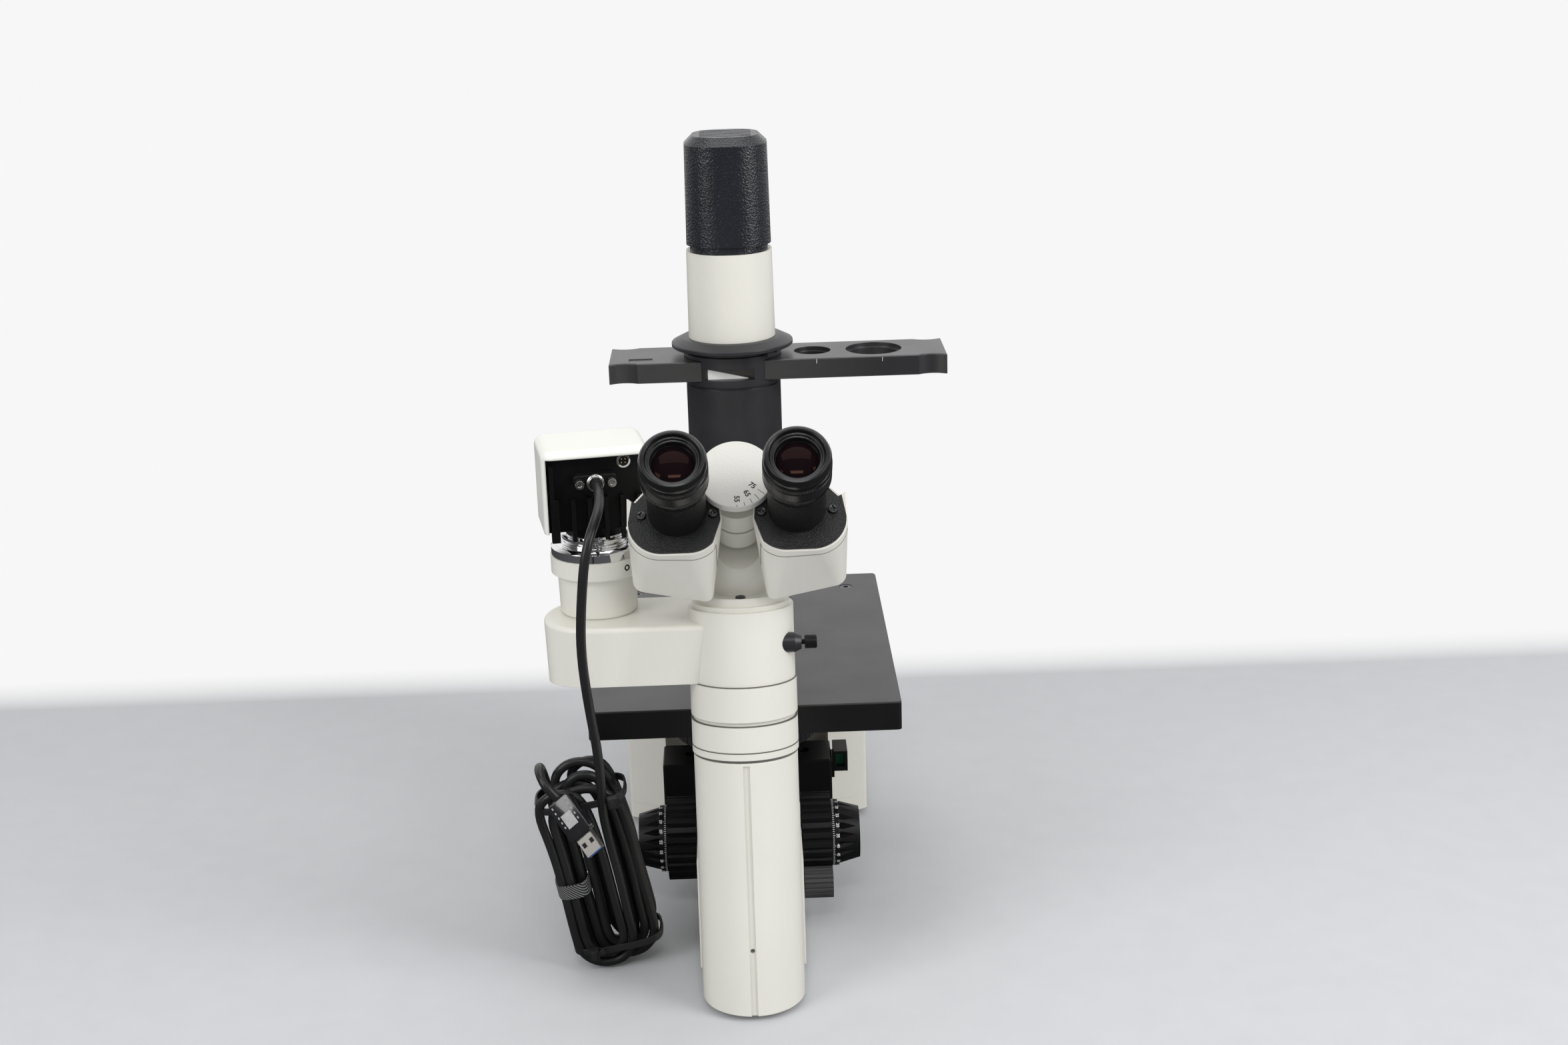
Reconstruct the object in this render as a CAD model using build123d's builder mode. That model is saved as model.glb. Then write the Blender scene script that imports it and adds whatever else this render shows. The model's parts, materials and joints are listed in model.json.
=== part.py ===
"""Inverted microscope with a photo port and camera, one STEP file per piece.

Millimetres, +Z up, the front towards -Y. Everything is drawn about the optical axis, at x = y = 0,
and is moved at export so that the origin lies under the middle of the whole part.
"""

import os
from math import cos, radians, sin, tan

from build123d import *

os.makedirs("parts", exist_ok=True)

# The optical axis, seen from the origin under the middle of the part
optic_x = -9.55
optic_y = 53.37

# Stand
foot_height = 4.0
foot_radius = 10.0
tray_top = 17.0
box_half_width = 89.0
box_front = 66.5
box_wall = 8.0
arm_half_width = 34.5
arm_top = 80.0
saddle_top = 48.0
saddle_back = 38.0
recess_half_width = 60.0
recess_back = 88.0
channel_back = 15.0
channel_floor = 12.0
channel_top = 40.0
channel_half_width = 17.0

# Front column, leaning back
column_lean = 7.5
column_reach = 73.2
column_radius = 32.5
column_back = 33.0
column_length = 158.8
column_bore = 25.0
lens_drop = 38.8
mirror_size = 26.0
ring_radius = 33.2
ring_gap = 1.6
ring_length = 21.2
spacer_length = 24.7
photo_tube_length = 46.0

# Stage
stage_width = 204.0
stage_depth = 268.0
stage_thick = 19.4
stage_top = 169.0
stage_gap = 2.0
insert_radius = 34.0
insert_thick = 3.0

# Nosepiece and focus
turret_radius = 52.0
turret_offset = 24.0
turret_low = 90.8
turret_high = 122.0
axle_radius = 8.0
carrier_low = 84.6
knob_y = -70.0
knob_z = 49.0
coarse_radius = 28.5
coarse_start = 36.0
coarse_length = 20.0
dial_radius = 22.7
fine_length = 19.0
coarse_shaft_radius = 7.0
fine_shaft_radius = 4.0
running_gap = 0.05

# Illumination, upwards from the condenser
condenser_gap = 80.0
condenser_length = 108.0
condenser_radius = 32.0
condenser_bore = 18.0
housing_radius = 33.0
housing_thick = 20.0
slider_half_depth = 25.0
slider_floor = 3.5
slider_thick = 13.5
slider_left = -83.0
slider_right = 143.5
slide_gap = 0.3
sleeve_radius = 27.9
flange_radius = 41.0
flange_thick = 9.5
lamp_tube_length = 59.0
lamp_tube_radius = 29.3
lamp_length = 76.5
lamp_width = 56.0
lamp_depth = 58.0
lamp_roof = 8.0
vent_height = 5.0
pillar_width = 50.0
pillar_depth = 34.0

# Photo port and camera
port_x = -88.5
port_set_back = 11.0
arm_set_back = 8.71
arm_drop = 5.14
arm_thick = 42.0
arm_half_depth = 30.0
arm_end_x = -92.5
port_radius = 24.0
port_length = 37.5
adapter_length = 14.0
camera_rise = 20.0
camera_height = 51.5
camera_width = 66.0
camera_depth = 52.0
camera_turn = 10.0
cover_wall = 2.6

# Beam splitter in the photo tube
beam_lift = 6.0
beam_forward = 15.0
bush_radius = 6.2
bush_seat = 12.5
bush_length = 16.5
beam_rod_radius = 1.6

# Binocular head, tilted 45 degrees towards the viewer
head_reach = 35.73
head_rise = 90.16
flange_rise = 5.0
neck_radius = 17.0
eye_offset = 35.3
eye_drop = 20.0
housing_length = 58.0
post_radius = 10.0
lug_radius = 16.0
lug_length = 18.0
lug_gap = 2.0
bevel_turn = 41.5
bevel_reach = 37.5
swing = 18.0
disc_gap = 0.3
tube_radius = 17.3
tube_bore = 15.2
tube_length = 30.0

# Data cord
cord_radius = 3.0
hank_width = 50.0
hank_height = 145.0
hank_thick = 30.0

pillar_y = stage_depth / 2 + stage_gap + pillar_depth / 2
box_back = pillar_y + pillar_depth / 2 + stage_gap
cavity_front = recess_back + box_wall
cavity_depth = box_back - box_wall - cavity_front
column_foot_y = -stage_depth / 2 - column_reach
condenser_low = stage_top + condenser_gap
housing_low = condenser_low + condenser_length
housing_high = housing_low + housing_thick
slider_low = housing_low + slider_floor
slider_high = slider_low + slider_thick
lamp_tube_low = housing_high + flange_thick
lamp_tube_high = lamp_tube_low + lamp_tube_length
lamp_top = lamp_tube_high + lamp_length

lean_sin = sin(radians(column_lean))
lean_cos = cos(radians(column_lean))
lean = Plane(
    origin=(0, column_foot_y, foot_height),
    x_dir=(1, 0, 0),
    z_dir=(0, lean_sin, lean_cos),
)
ring_low = column_length + ring_gap
spacer_low = ring_low + ring_length
photo_tube_low = spacer_low + spacer_length
photo_tube_high = photo_tube_low + photo_tube_length
stage_low = stage_top - stage_thick


def column_back_at(z):
    """The y of the column's flat back at a height."""
    return column_foot_y + column_back / lean_cos + (z - foot_height) * tan(radians(column_lean))


def lean_axis_at(z):
    """The y of the leaning axis at a height."""
    return column_foot_y + (z - foot_height) * tan(radians(column_lean))


tube_top_y = column_foot_y + photo_tube_high * lean_sin
tube_top_z = foot_height + photo_tube_high * lean_cos
arm_high = tube_top_z - arm_drop
arm_low = arm_high - arm_thick
arm_y = lean_axis_at((arm_low + arm_high) / 2) + arm_set_back
port_y = arm_y + port_set_back
port_top = arm_high + port_length
adapter_top = port_top + adapter_length
camera_low = port_top + camera_rise
camera_high = camera_low + camera_height
beam_z = (arm_low + arm_high) / 2 + beam_lift
prism_y = lean_axis_at(beam_z)
beam_y = prism_y - beam_forward
bush_start = column_radius - bush_seat
camera = Plane(Location((port_x, port_y, 0), (0, 0, camera_turn)))
head = Plane(
    origin=(0, tube_top_y - head_reach, tube_top_z + head_rise),
    x_dir=(1, 0, 0),
    z_dir=(0, -1, 1),
)
pieces = {}


def bend_radii(points):
    """The radius of each bend of a cord, from its two runs and its turn."""
    radii = []
    for before, here, after in zip(points, points[1:], points[2:]):
        run_in = Vector(*here) - Vector(*before)
        run_out = Vector(*after) - Vector(*here)
        half_turn = radians(run_in.get_angle(run_out)) / 2
        radii.append(0.45 * min(run_in.length, run_out.length) / tan(half_turn))
    return radii


# Stand: low arm under the optics and rear box, with the light channel and a recess for the focus
with BuildPart() as stand_body:
    with BuildSketch(Plane.XY.offset(tray_top)) as box_plan:
        with BuildLine():
            Polyline(
                (-arm_half_width, saddle_back),
                (-box_half_width, box_front),
                (-box_half_width, box_back),
                (box_half_width, box_back),
                (box_half_width, box_front),
                (arm_half_width, saddle_back),
                close=True,
            )
        make_face()
        fillet(box_plan.vertices().group_by(Axis.Y)[-1], 12)
        fillet(box_plan.vertices().group_by(Axis.X)[0].sort_by(Axis.Y)[0], 4)
        fillet(box_plan.vertices().group_by(Axis.X)[-1].sort_by(Axis.Y)[0], 4)
    extrude(amount=stage_low - tray_top)
    with Locations((0, recess_back - 40, saddle_top)):
        Box(
            2 * recess_half_width,
            80,
            stage_low,
            align=(Align.CENTER, Align.CENTER, Align.MIN),
            mode=Mode.SUBTRACT,
        )
    with Locations((0, cavity_front, tray_top)):
        Box(
            2 * (box_half_width - box_wall - 1),
            cavity_depth,
            stage_low - tray_top - box_wall,
            align=(Align.CENTER, Align.MIN, Align.MIN),
            mode=Mode.SUBTRACT,
        )
    with BuildSketch(Plane.YZ):
        with BuildLine():
            Polyline(
                (column_back_at(foot_height), foot_height),
                (column_back_at(arm_top), arm_top),
                (-44, arm_top),
                (-34, saddle_top),
                (60, saddle_top),
                (60, tray_top),
                (saddle_back, tray_top),
                (saddle_back, foot_height),
                close=True,
            )
        make_face()
    extrude(amount=arm_half_width, both=True)
    arm_rims = stand_body.edges().filter_by(Axis.Y).filter_by_position(Axis.Z, arm_top - 1, arm_top + 1)
    fillet(arm_rims, 5)
    with Locations((0, channel_back, channel_floor)):
        Box(
            2 * channel_half_width,
            channel_back - column_foot_y,
            channel_top - channel_floor,
            align=(Align.CENTER, Align.MAX, Align.MIN),
            mode=Mode.SUBTRACT,
        )
    with Locations((0, 0, channel_floor)):
        Cylinder(
            12,
            60,
            align=(Align.CENTER, Align.CENTER, Align.MIN),
            mode=Mode.SUBTRACT,
        )
    with Locations((0, knob_y, knob_z)):
        Cylinder(
            coarse_shaft_radius + running_gap,
            2 * arm_half_width,
            rotation=(0, 90, 0),
            mode=Mode.SUBTRACT,
        )
    with Locations((channel_half_width + 12, -110, 31)):
        Cylinder(3 + running_gap, 24, rotation=(0, 90, 0), mode=Mode.SUBTRACT)
    with Locations((-45, box_back, 52)):
        Box(27.4, 60, 20.4, mode=Mode.SUBTRACT)
pieces["stand_body"] = stand_body

# Tray that closes the rear box from below, down to the seam in the photo
with BuildPart() as base_tray:
    with BuildSketch(Plane.XY.offset(foot_height)):
        add(box_plan.sketch.moved(Location((0, 0, -tray_top))))
    extrude(amount=tray_top - foot_height)
    chamfer(base_tray.faces().sort_by(Axis.Z)[0].edges(), 1)
pieces["base_tray"] = base_tray

with BuildPart() as rubber_feet:
    with BuildSketch(Plane.XY):
        with Locations((-72, box_back - 20), (72, box_back - 20), (0, column_foot_y + 42.2)):
            Circle(foot_radius)
        with Locations((-72, box_front + 15.5), (72, box_front + 15.5)):
            Circle(foot_radius)
    extrude(amount=foot_height)
    chamfer(rubber_feet.faces().group_by(Axis.Z)[0].edges(), 0.8)
pieces["rubber_feet"] = rubber_feet

# Mains inlet at the back: flange, shroud and three blades
with BuildPart() as power_inlet:
    with BuildSketch(Plane.XZ.offset(-box_back).shift_origin((-45, box_back, 52))):
        RectangleRounded(32, 25, 2)
    extrude(amount=-2.4)
    with BuildSketch(Plane.XZ.offset(-box_back).shift_origin((-45, box_back, 52))):
        RectangleRounded(27, 20, 2)
    extrude(amount=24)
    with BuildSketch(Plane.XZ.offset(-box_back - 2.4).shift_origin((-45, box_back + 2.4, 52))):
        RectangleRounded(24, 16.5, 3)
    extrude(amount=18, mode=Mode.SUBTRACT)
    with BuildSketch(Plane.XZ.offset(-box_back + 15.6).shift_origin((-45, box_back - 15.6, 52))):
        with Locations((-7, -2), (7, -2), (0, 2)):
            Rectangle(2, 4)
    extrude(amount=-11)
pieces["power_inlet"] = power_inlet

# Power supply on the tray: board, transformer and a heat sink
with BuildPart() as power_supply:
    board_y = cavity_front + 0.47 * cavity_depth
    board_depth = cavity_depth - 18
    with Locations((10, board_y, tray_top)):
        Box(100, board_depth, 3, align=(Align.CENTER, Align.CENTER, Align.MIN))
    with Locations((-10, board_y, tray_top + 3)):
        Box(46, board_depth - 10, 34, align=(Align.CENTER, Align.CENTER, Align.MIN))
    with Locations((38, board_y, tray_top + 3)):
        Box(16, board_depth - 6, 26, align=(Align.CENTER, Align.CENTER, Align.MIN))
pieces["power_supply"] = power_supply

# Front column: round nose and flat back, cut level at the foot, with its centre groove and pin hole
with BuildPart() as front_column:
    with BuildSketch(lean.offset(-8)):
        Circle(column_radius)
        with Locations((0, column_back / 2)):
            Rectangle(2 * column_radius, column_back)
    extrude(amount=column_length + 8)
    fillet(front_column.faces().sort_by(Axis.Z)[-1].edges(), 1.2)
    split(bisect_by=Plane.XY.offset(foot_height), keep=Keep.TOP)
    with BuildSketch(lean.offset(9)):
        Circle(column_bore)
    extrude(amount=column_length, mode=Mode.SUBTRACT)
    channel_mouth = column_back_at(channel_top) + 1
    with Locations((0, channel_mouth, channel_floor)):
        Box(
            2 * channel_half_width,
            channel_mouth - column_foot_y + mirror_size / 2 + 2,
            channel_top - channel_floor,
            align=(Align.CENTER, Align.MAX, Align.MIN),
            mode=Mode.SUBTRACT,
        )
    with BuildSketch(lean.offset(-8)):
        with Locations((0, -column_radius)):
            Rectangle(4, 2.4)
    extrude(amount=column_length + 6, mode=Mode.SUBTRACT)
    with Locations(lean.offset(38) * Location((0, -column_radius, 0), (90, 0, 0))):
        Cylinder(1.5, 12, mode=Mode.SUBTRACT)
pieces["front_column"] = front_column

# Two rings on the column, the lower one with the bare badge place and a fine turned line
with BuildPart() as column_ring:
    with BuildSketch(lean.offset(column_length)):
        Circle(ring_radius - 1.6)
        Circle(column_bore, mode=Mode.SUBTRACT)
    extrude(amount=ring_gap)
    with BuildSketch(lean.offset(ring_low)):
        Circle(ring_radius)
        Circle(column_bore, mode=Mode.SUBTRACT)
    extrude(amount=ring_length)
    with BuildSketch(lean.offset(ring_low + 4.4)):
        Circle(ring_radius + 1)
        Circle(ring_radius - 0.5, mode=Mode.SUBTRACT)
    extrude(amount=0.6, mode=Mode.SUBTRACT)
pieces["column_ring"] = column_ring

with BuildPart() as spacer_ring:
    with BuildSketch(lean.offset(spacer_low)):
        Circle(ring_radius - 1.4)
        Circle(column_bore, mode=Mode.SUBTRACT)
    extrude(amount=2)
    with BuildSketch(lean.offset(spacer_low + 2)):
        Circle(ring_radius)
        Circle(column_bore, mode=Mode.SUBTRACT)
    extrude(amount=spacer_length - 2)
    chamfer(spacer_ring.edges().filter_by(GeomType.CIRCLE).sort_by(SortBy.RADIUS)[-2:], 0.8)
pieces["spacer_ring"] = spacer_ring

with BuildPart() as tube_lens:
    with BuildSketch(lean.offset(column_length - lens_drop)):
        Circle(column_bore - 0.03)
    extrude(amount=6)
    with BuildSketch(lean.offset(column_length - lens_drop + 6)):
        Circle(20)
    extrude(amount=4, taper=50)
pieces["tube_lens"] = tube_lens

with BuildPart() as mirrors:
    with BuildSketch(Plane.YZ):
        with BuildLine():
            Polyline(
                (mirror_size / 2, channel_floor),
                (-mirror_size / 2, channel_floor),
                (mirror_size / 2, channel_floor + mirror_size),
                close=True,
            )
        make_face()
        with BuildLine():
            Polyline(
                (column_foot_y - mirror_size / 2, channel_floor),
                (column_foot_y + mirror_size / 2, channel_floor),
                (column_foot_y - mirror_size / 2, channel_floor + mirror_size),
                close=True,
            )
        make_face()
    extrude(amount=channel_half_width - 3, both=True)
pieces["mirrors"] = mirrors

# Photo tube: leaning round tube with a level side arm that carries the port
with BuildPart() as photo_tube:
    with BuildSketch(Plane.XY.offset(arm_high)):
        with Locations((arm_end_x, arm_y)):
            Circle(arm_half_depth)
        with Locations((arm_end_x / 2, arm_y)):
            Rectangle(-arm_end_x, 2 * arm_half_depth)
    extrude(amount=arm_low - arm_high, taper=1.5)
    fillet(photo_tube.faces().sort_by(Axis.Z)[-1].edges(), 3)
    with BuildSketch(lean.offset(photo_tube_low)):
        Circle(column_radius)
    extrude(amount=photo_tube_length)
    split(bisect_by=lean.offset(photo_tube_low), keep=Keep.TOP)
    with BuildSketch(lean.offset(photo_tube_low)):
        Circle(column_bore - 1)
    extrude(amount=photo_tube_length, mode=Mode.SUBTRACT)
    with Locations((port_x, port_y, arm_high)):
        Cylinder(16, 44, mode=Mode.SUBTRACT)
    with Locations((port_x / 2, port_y, (arm_low + arm_high) / 2 + 4)):
        Cylinder(13, -port_x, rotation=(0, 90, 0), mode=Mode.SUBTRACT)
    with Locations((column_radius, beam_y, beam_z)):
        bush_bore = 2 * (column_radius - 10)
        Cylinder(bush_radius + running_gap, bush_bore, rotation=(0, 90, 0), mode=Mode.SUBTRACT)
pieces["photo_tube"] = photo_tube

# Beam splitter: tapered bush in the tube's side, push-pull rod with its knob, and the prism
beam_face = Plane.YZ.shift_origin((0, beam_y, beam_z))
with BuildPart() as beam_bush:
    with BuildSketch(beam_face.offset(bush_start)):
        Circle(bush_radius)
    extrude(amount=bush_seat)
    with BuildSketch(beam_face.offset(bush_start + bush_seat)):
        Circle(bush_radius)
    extrude(amount=bush_length - bush_seat, taper=25)
    with BuildSketch(beam_face.offset(bush_start)):
        Circle(beam_rod_radius + running_gap)
    extrude(amount=bush_length, mode=Mode.SUBTRACT)
pieces["beam_bush"] = beam_bush

with BuildPart() as beam_rod:
    with BuildSketch(beam_face.offset(3)):
        Circle(beam_rod_radius)
    extrude(amount=bush_start + bush_length)
    with BuildSketch(beam_face.offset(bush_start + bush_length + 2)):
        Circle(4.2)
    extrude(amount=7.5)
    chamfer(beam_rod.faces().sort_by(Axis.X)[-1].edges(), 0.6)
pieces["beam_rod"] = beam_rod

with BuildPart() as splitter_prism:
    with Locations((0, prism_y, beam_z)):
        Box(16, 16, 16)
    with Locations((0, prism_y, beam_z)):
        Box(6, beam_forward + 2, 6, align=(Align.CENTER, Align.MAX, Align.CENTER))
pieces["splitter_prism"] = splitter_prism

# Port tube with its collar, and the bright stepped adapter on it
with BuildPart() as port_tube:
    with BuildSketch(Plane.XZ):
        with BuildLine():
            Polyline(
                (17, arm_high),
                (port_radius - 0.8, arm_high),
                (port_radius - 0.8, arm_high + 0.8),
                (port_radius, arm_high + 0.8),
                (port_radius + 0.6, port_top - 13.5),
                (28.5, port_top - 11),
                (28.5, port_top),
                (17, port_top),
                close=True,
            )
        make_face()
    revolve(axis=Axis.Z)
    with Locations(Location((0, 0, port_top - 5), (0, 90, -52))):
        Cylinder(2.2, 80, align=(Align.CENTER, Align.CENTER, Align.MIN), mode=Mode.SUBTRACT)
pieces["port_tube"] = port_tube.part.moved(Location((port_x, port_y, 0)))

with BuildPart() as port_adapter:
    with BuildSketch(Plane.XZ):
        with BuildLine():
            Polyline(
                (12.8, port_top),
                (27.8, port_top),
                (27.8, port_top + 5.6),
                (26, port_top + 7.4),
                (21, port_top + 7.4),
                (21, port_top + 9),
                (19.6, port_top + 9),
                (19.6, port_top + 10.6),
                (21, port_top + 10.6),
                (21, port_top + 12.2),
                (18.5, port_top + 12.2),
                (18.5, adapter_top),
                (12.8, adapter_top),
                close=True,
            )
        make_face()
    revolve(axis=Axis.Z)
pieces["port_adapter"] = port_adapter.part.moved(Location((port_x, port_y, 0)))

# Camera: cover open to the front and below, finned body that hangs out of it, socket and connector
with BuildPart() as camera_cover:
    with BuildSketch(camera.offset(camera_low)):
        RectangleRounded(camera_width, camera_depth, 7)
    extrude(amount=camera_high - camera_low)
    fillet(camera_cover.faces().sort_by(Axis.Z)[-1].edges(), 5)
    with BuildSketch(camera.offset(camera_low)):
        with Locations((0, -cover_wall)):
            Rectangle(camera_width - 2 * cover_wall, camera_depth)
    extrude(amount=camera_high - camera_low - cover_wall - 2, mode=Mode.SUBTRACT)
pieces["camera_cover"] = camera_cover

body_width = camera_width - 2 * cover_wall - 0.4
body_depth = camera_depth - cover_wall - 6
body_back = camera_depth / 2 - cover_wall - 0.2
with BuildPart() as camera_body:
    with BuildSketch(camera.offset(camera_low)):
        with Locations((0, body_back - body_depth / 2)):
            Rectangle(body_width, body_depth)
    extrude(amount=camera_high - camera_low - cover_wall - 2.2)
    with BuildSketch(camera.offset(camera_low - 5.4)):
        with GridLocations(10, 1, 6, 1):
            with Locations((0, body_back - body_depth - 2.4)):
                Rectangle(2.6, 4.8)
    extrude(amount=27)
    with BuildSketch(camera.offset(camera_low - 5.4)):
        with Locations((-27.5, body_back - body_depth - 2.4)):
            Rectangle(2.6, 4.8)
    extrude(amount=48)
    with BuildSketch(camera.offset(adapter_top)):
        Circle(15)
    extrude(amount=camera_low - adapter_top)
pieces["camera_body"] = camera_body

front_face = body_back - body_depth
with BuildPart() as camera_socket:
    with Locations(camera * Location((17, front_face, camera_high - 9), (90, 0, 0))):
        Cylinder(4.2, 2.4, align=(Align.CENTER, Align.CENTER, Align.MIN))
        Cylinder(
            3.1,
            2.4,
            align=(Align.CENTER, Align.CENTER, Align.MIN),
            mode=Mode.SUBTRACT,
        )
    with Locations(camera * Location((17, front_face, camera_high - 9), (90, 0, 0))):
        Cylinder(3.1, 0.8, align=(Align.CENTER, Align.CENTER, Align.MIN))
pieces["camera_socket"] = camera_socket

connector_at = (-1.5, front_face, camera_high - 19)
connector_face = Plane(camera * Plane.XZ.offset(-front_face).shift_origin(connector_at))
with BuildPart() as cord_connector:
    with BuildSketch(connector_face):
        RectangleRounded(14, 8, 2)
    extrude(amount=10)
    with BuildSketch(connector_face):
        RectangleRounded(25, 5, 2)
    extrude(amount=3)
    with BuildSketch(connector_face):
        with Locations((-9.5, 0), (9.5, 0)):
            Circle(2.9)
    extrude(amount=14)
    with BuildSketch(connector_face.offset(10)):
        Circle(5)
    extrude(amount=8, taper=6)
pieces["cord_connector"] = cord_connector

# Data cord from the connector to its hank, the hank as one outer shape, plug and ties on it
cord_exit = (camera * Location((-1.5, front_face - 18.4, camera_high - 19))).position
cord_bend = (camera * Location((-1.5, front_face - 46, camera_high - 20))).position
cord_points = [
    (cord_exit.X, cord_exit.Y, cord_exit.Z),
    (cord_bend.X, cord_bend.Y, cord_bend.Z),
    (-88.5, -247, 317),
    (-93, -243, 283),
    (-96, -232, 248),
    (-94.5, -217, 208),
    (-91.5, -199, 168),
    (-91.8, -182.4, 131),
]
cord_bends = bend_radii(cord_points)
with BuildPart() as data_cord:
    with BuildLine() as cord_route:
        FilletPolyline(*cord_points, radius=cord_bends)
    with BuildSketch(cord_route.line ^ 0):
        Circle(cord_radius)
    sweep()
pieces["data_cord"] = data_cord

hank = Plane(origin=(-97.5, -157, 74.6), x_dir=(0.986, 0, 0.168), z_dir=(0.0202, -0.9927, -0.1183))
with BuildPart() as cord_hank:
    with BuildSketch(hank.offset(-hank_thick / 2)):
        SlotOverall(hank_height, hank_width, rotation=90)
    extrude(amount=hank_thick)
    fillet(cord_hank.edges(), 9)
pieces["cord_hank"] = cord_hank

with BuildPart() as cord_ties:
    with BuildSketch(hank.offset(-hank_thick / 2 - 1.2)):
        with Locations((0, 44), (0, -56)):
            Rectangle(hank_width + 2.4, 5)
        with Locations((0, -6)):
            Rectangle(hank_width + 2.4, 12)
    extrude(amount=hank_thick + 2.4)
    with BuildSketch(hank.offset(-hank_thick / 2)):
        Rectangle(hank_width, hank_height + 20)
    extrude(amount=hank_thick, mode=Mode.SUBTRACT)
    with BuildSketch(hank.offset(hank_thick / 2)):
        with Locations((20, 44), (-14, -56)):
            Rectangle(6, 7)
    extrude(amount=5)
pieces["cord_ties"] = cord_ties

plug = Plane(hank.offset(hank_thick / 2 + 0.2).location * Location((-4, 19, 0), (0, 0, -45)))
with BuildPart() as cord_plug:
    with BuildSketch(plug):
        with Locations((-6, 0)):
            RectangleRounded(28, 17, 3)
    extrude(amount=9)
    with BuildSketch(plug.offset(2)):
        with Locations((14, 0)):
            Rectangle(14, 12)
    extrude(amount=4.5)
    with BuildSketch(plug.offset(4.6)):
        with Locations((15, 0)):
            Rectangle(13, 11)
    extrude(amount=1.5, mode=Mode.SUBTRACT)
pieces["cord_plug"] = cord_plug

# Head base: flange on the photo tube, neck cut to the 45 degree head, and the hinge post
base_face = head.offset(-housing_length - 2.5)
with BuildPart() as head_base:
    with BuildSketch(lean.offset(photo_tube_high)):
        Circle(column_radius - 2.5)
    extrude(amount=3)
    with BuildSketch(lean.offset(photo_tube_high + 3)):
        Circle(column_radius - 5.5)
    extrude(amount=flange_rise)
    with BuildSketch(lean.offset(photo_tube_high + 3)):
        Circle(neck_radius)
    extrude(amount=head_rise)
    split(bisect_by=base_face, keep=Keep.BOTTOM)
    with BuildSketch(base_face):
        Circle(post_radius)
    extrude(amount=housing_length + 2.5 + disc_gap)
pieces["head_base"] = head_base

with BuildPart() as hinge_disc:
    with BuildSketch(head.offset(disc_gap)):
        Circle(21)
    extrude(amount=0.6)
    with BuildSketch(head.offset(disc_gap + 0.6)):
        Circle(22.6)
    extrude(amount=5.4)
    fillet(hinge_disc.faces().sort_by(Axis.Z)[-1].edges(), 0.8)
pieces["hinge_disc"] = hinge_disc

# Tube housings: blocks with a rounded top rim and a squarer foot, given by the circles at their
# corners, seen from the eyepiece; they swing on lugs around the post until their inner flats meet
plate_corners = [(8.7, -7, 21), (-6.3, -8, 20), (-16.3, 24, 7), (21.7, 12, 8)]
foot_corners = [(21.7, -15, 8), (-14.3, -25.5, 5), (-16.3, 24, 7), (21.7, 12, 8)]
rim_chamfer = 0.9
with BuildPart() as housing_block:
    for depth, corners, inset in (
        (housing_length + 2, foot_corners, 0),
        (2 + rim_chamfer, plate_corners, 0),
        (2, plate_corners, rim_chamfer),
    ):
        with BuildSketch(head.offset(-depth)):
            for corner_x, corner_y, corner_radius in corners:
                with Locations((eye_offset + corner_x, -eye_drop + corner_y)):
                    Circle(corner_radius - inset)
            make_hull()
    loft(ruled=True)
    with BuildSketch(head.offset(-housing_length - 3)):
        Circle(lug_radius + 1)
        with Locations(Location((0, 0, 0), (0, 0, bevel_turn))):
            with Locations((bevel_reach, 0)):
                Rectangle(40, 100, align=(Align.MIN, Align.CENTER))
        with Locations(Location((0, 0, 0), (0, 0, swing))):
            with Locations((0.6, 0)):
                Rectangle(80, 160, align=(Align.MAX, Align.CENTER))
    extrude(amount=housing_length + 4, mode=Mode.SUBTRACT)

with BuildPart() as lug:
    with BuildSketch(head):
        Circle(lug_radius)
        with Locations((15, -2)):
            Rectangle(14, 9)
        Circle(post_radius + running_gap, mode=Mode.SUBTRACT)
    extrude(amount=-lug_length)

right_lug_drop = housing_length - lug_length
left_lug_drop = right_lug_drop - lug_length - lug_gap
with BuildPart() as right_housing:
    add(housing_block.part)
    add(lug.part.moved(Location(head.z_dir * -right_lug_drop)))
pieces["right_housing"] = right_housing

with BuildPart() as left_housing:
    add(mirror(housing_block.part, about=Plane.YZ, mode=Mode.PRIVATE))
    add(mirror(lug.part.moved(Location(head.z_dir * -left_lug_drop)), about=Plane.YZ, mode=Mode.PRIVATE))
pieces["left_housing"] = left_housing

# Black plate with the eyepiece tube standing on it
with BuildPart() as right_tube:
    with BuildSketch(head.offset(-2)):
        for corner_x, corner_y, corner_radius in plate_corners:
            with Locations((eye_offset + corner_x, -eye_drop + corner_y)):
                Circle(corner_radius - 0.8)
        make_hull()
        Circle(lug_radius + 1.5, mode=Mode.SUBTRACT)
        with Locations(Location((0, 0, 0), (0, 0, bevel_turn))):
            with Locations((bevel_reach - 1.8, 0)):
                Rectangle(40, 100, align=(Align.MIN, Align.CENTER), mode=Mode.SUBTRACT)
        with Locations(Location((0, 0, 0), (0, 0, swing))):
            with Locations((1.4, 0)):
                Rectangle(80, 160, align=(Align.MAX, Align.CENTER), mode=Mode.SUBTRACT)
    extrude(amount=2)
    with BuildSketch(head):
        with Locations((eye_offset, -eye_drop)):
            Circle(tube_radius)
    extrude(amount=tube_length)
    with BuildSketch(head):
        with Locations((eye_offset, -eye_drop)):
            Circle(tube_bore)
    extrude(amount=tube_length, mode=Mode.SUBTRACT)
pieces["right_tube"] = right_tube

# The left one also carries the scale disc, on a low pad
with BuildPart() as left_tube:
    add(mirror(right_tube.part, about=Plane.YZ, mode=Mode.PRIVATE))
    with BuildSketch(head):
        with Locations((-19.3, -4)):
            Rectangle(2.4, 10)
    extrude(amount=disc_gap)
pieces["left_tube"] = left_tube

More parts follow.
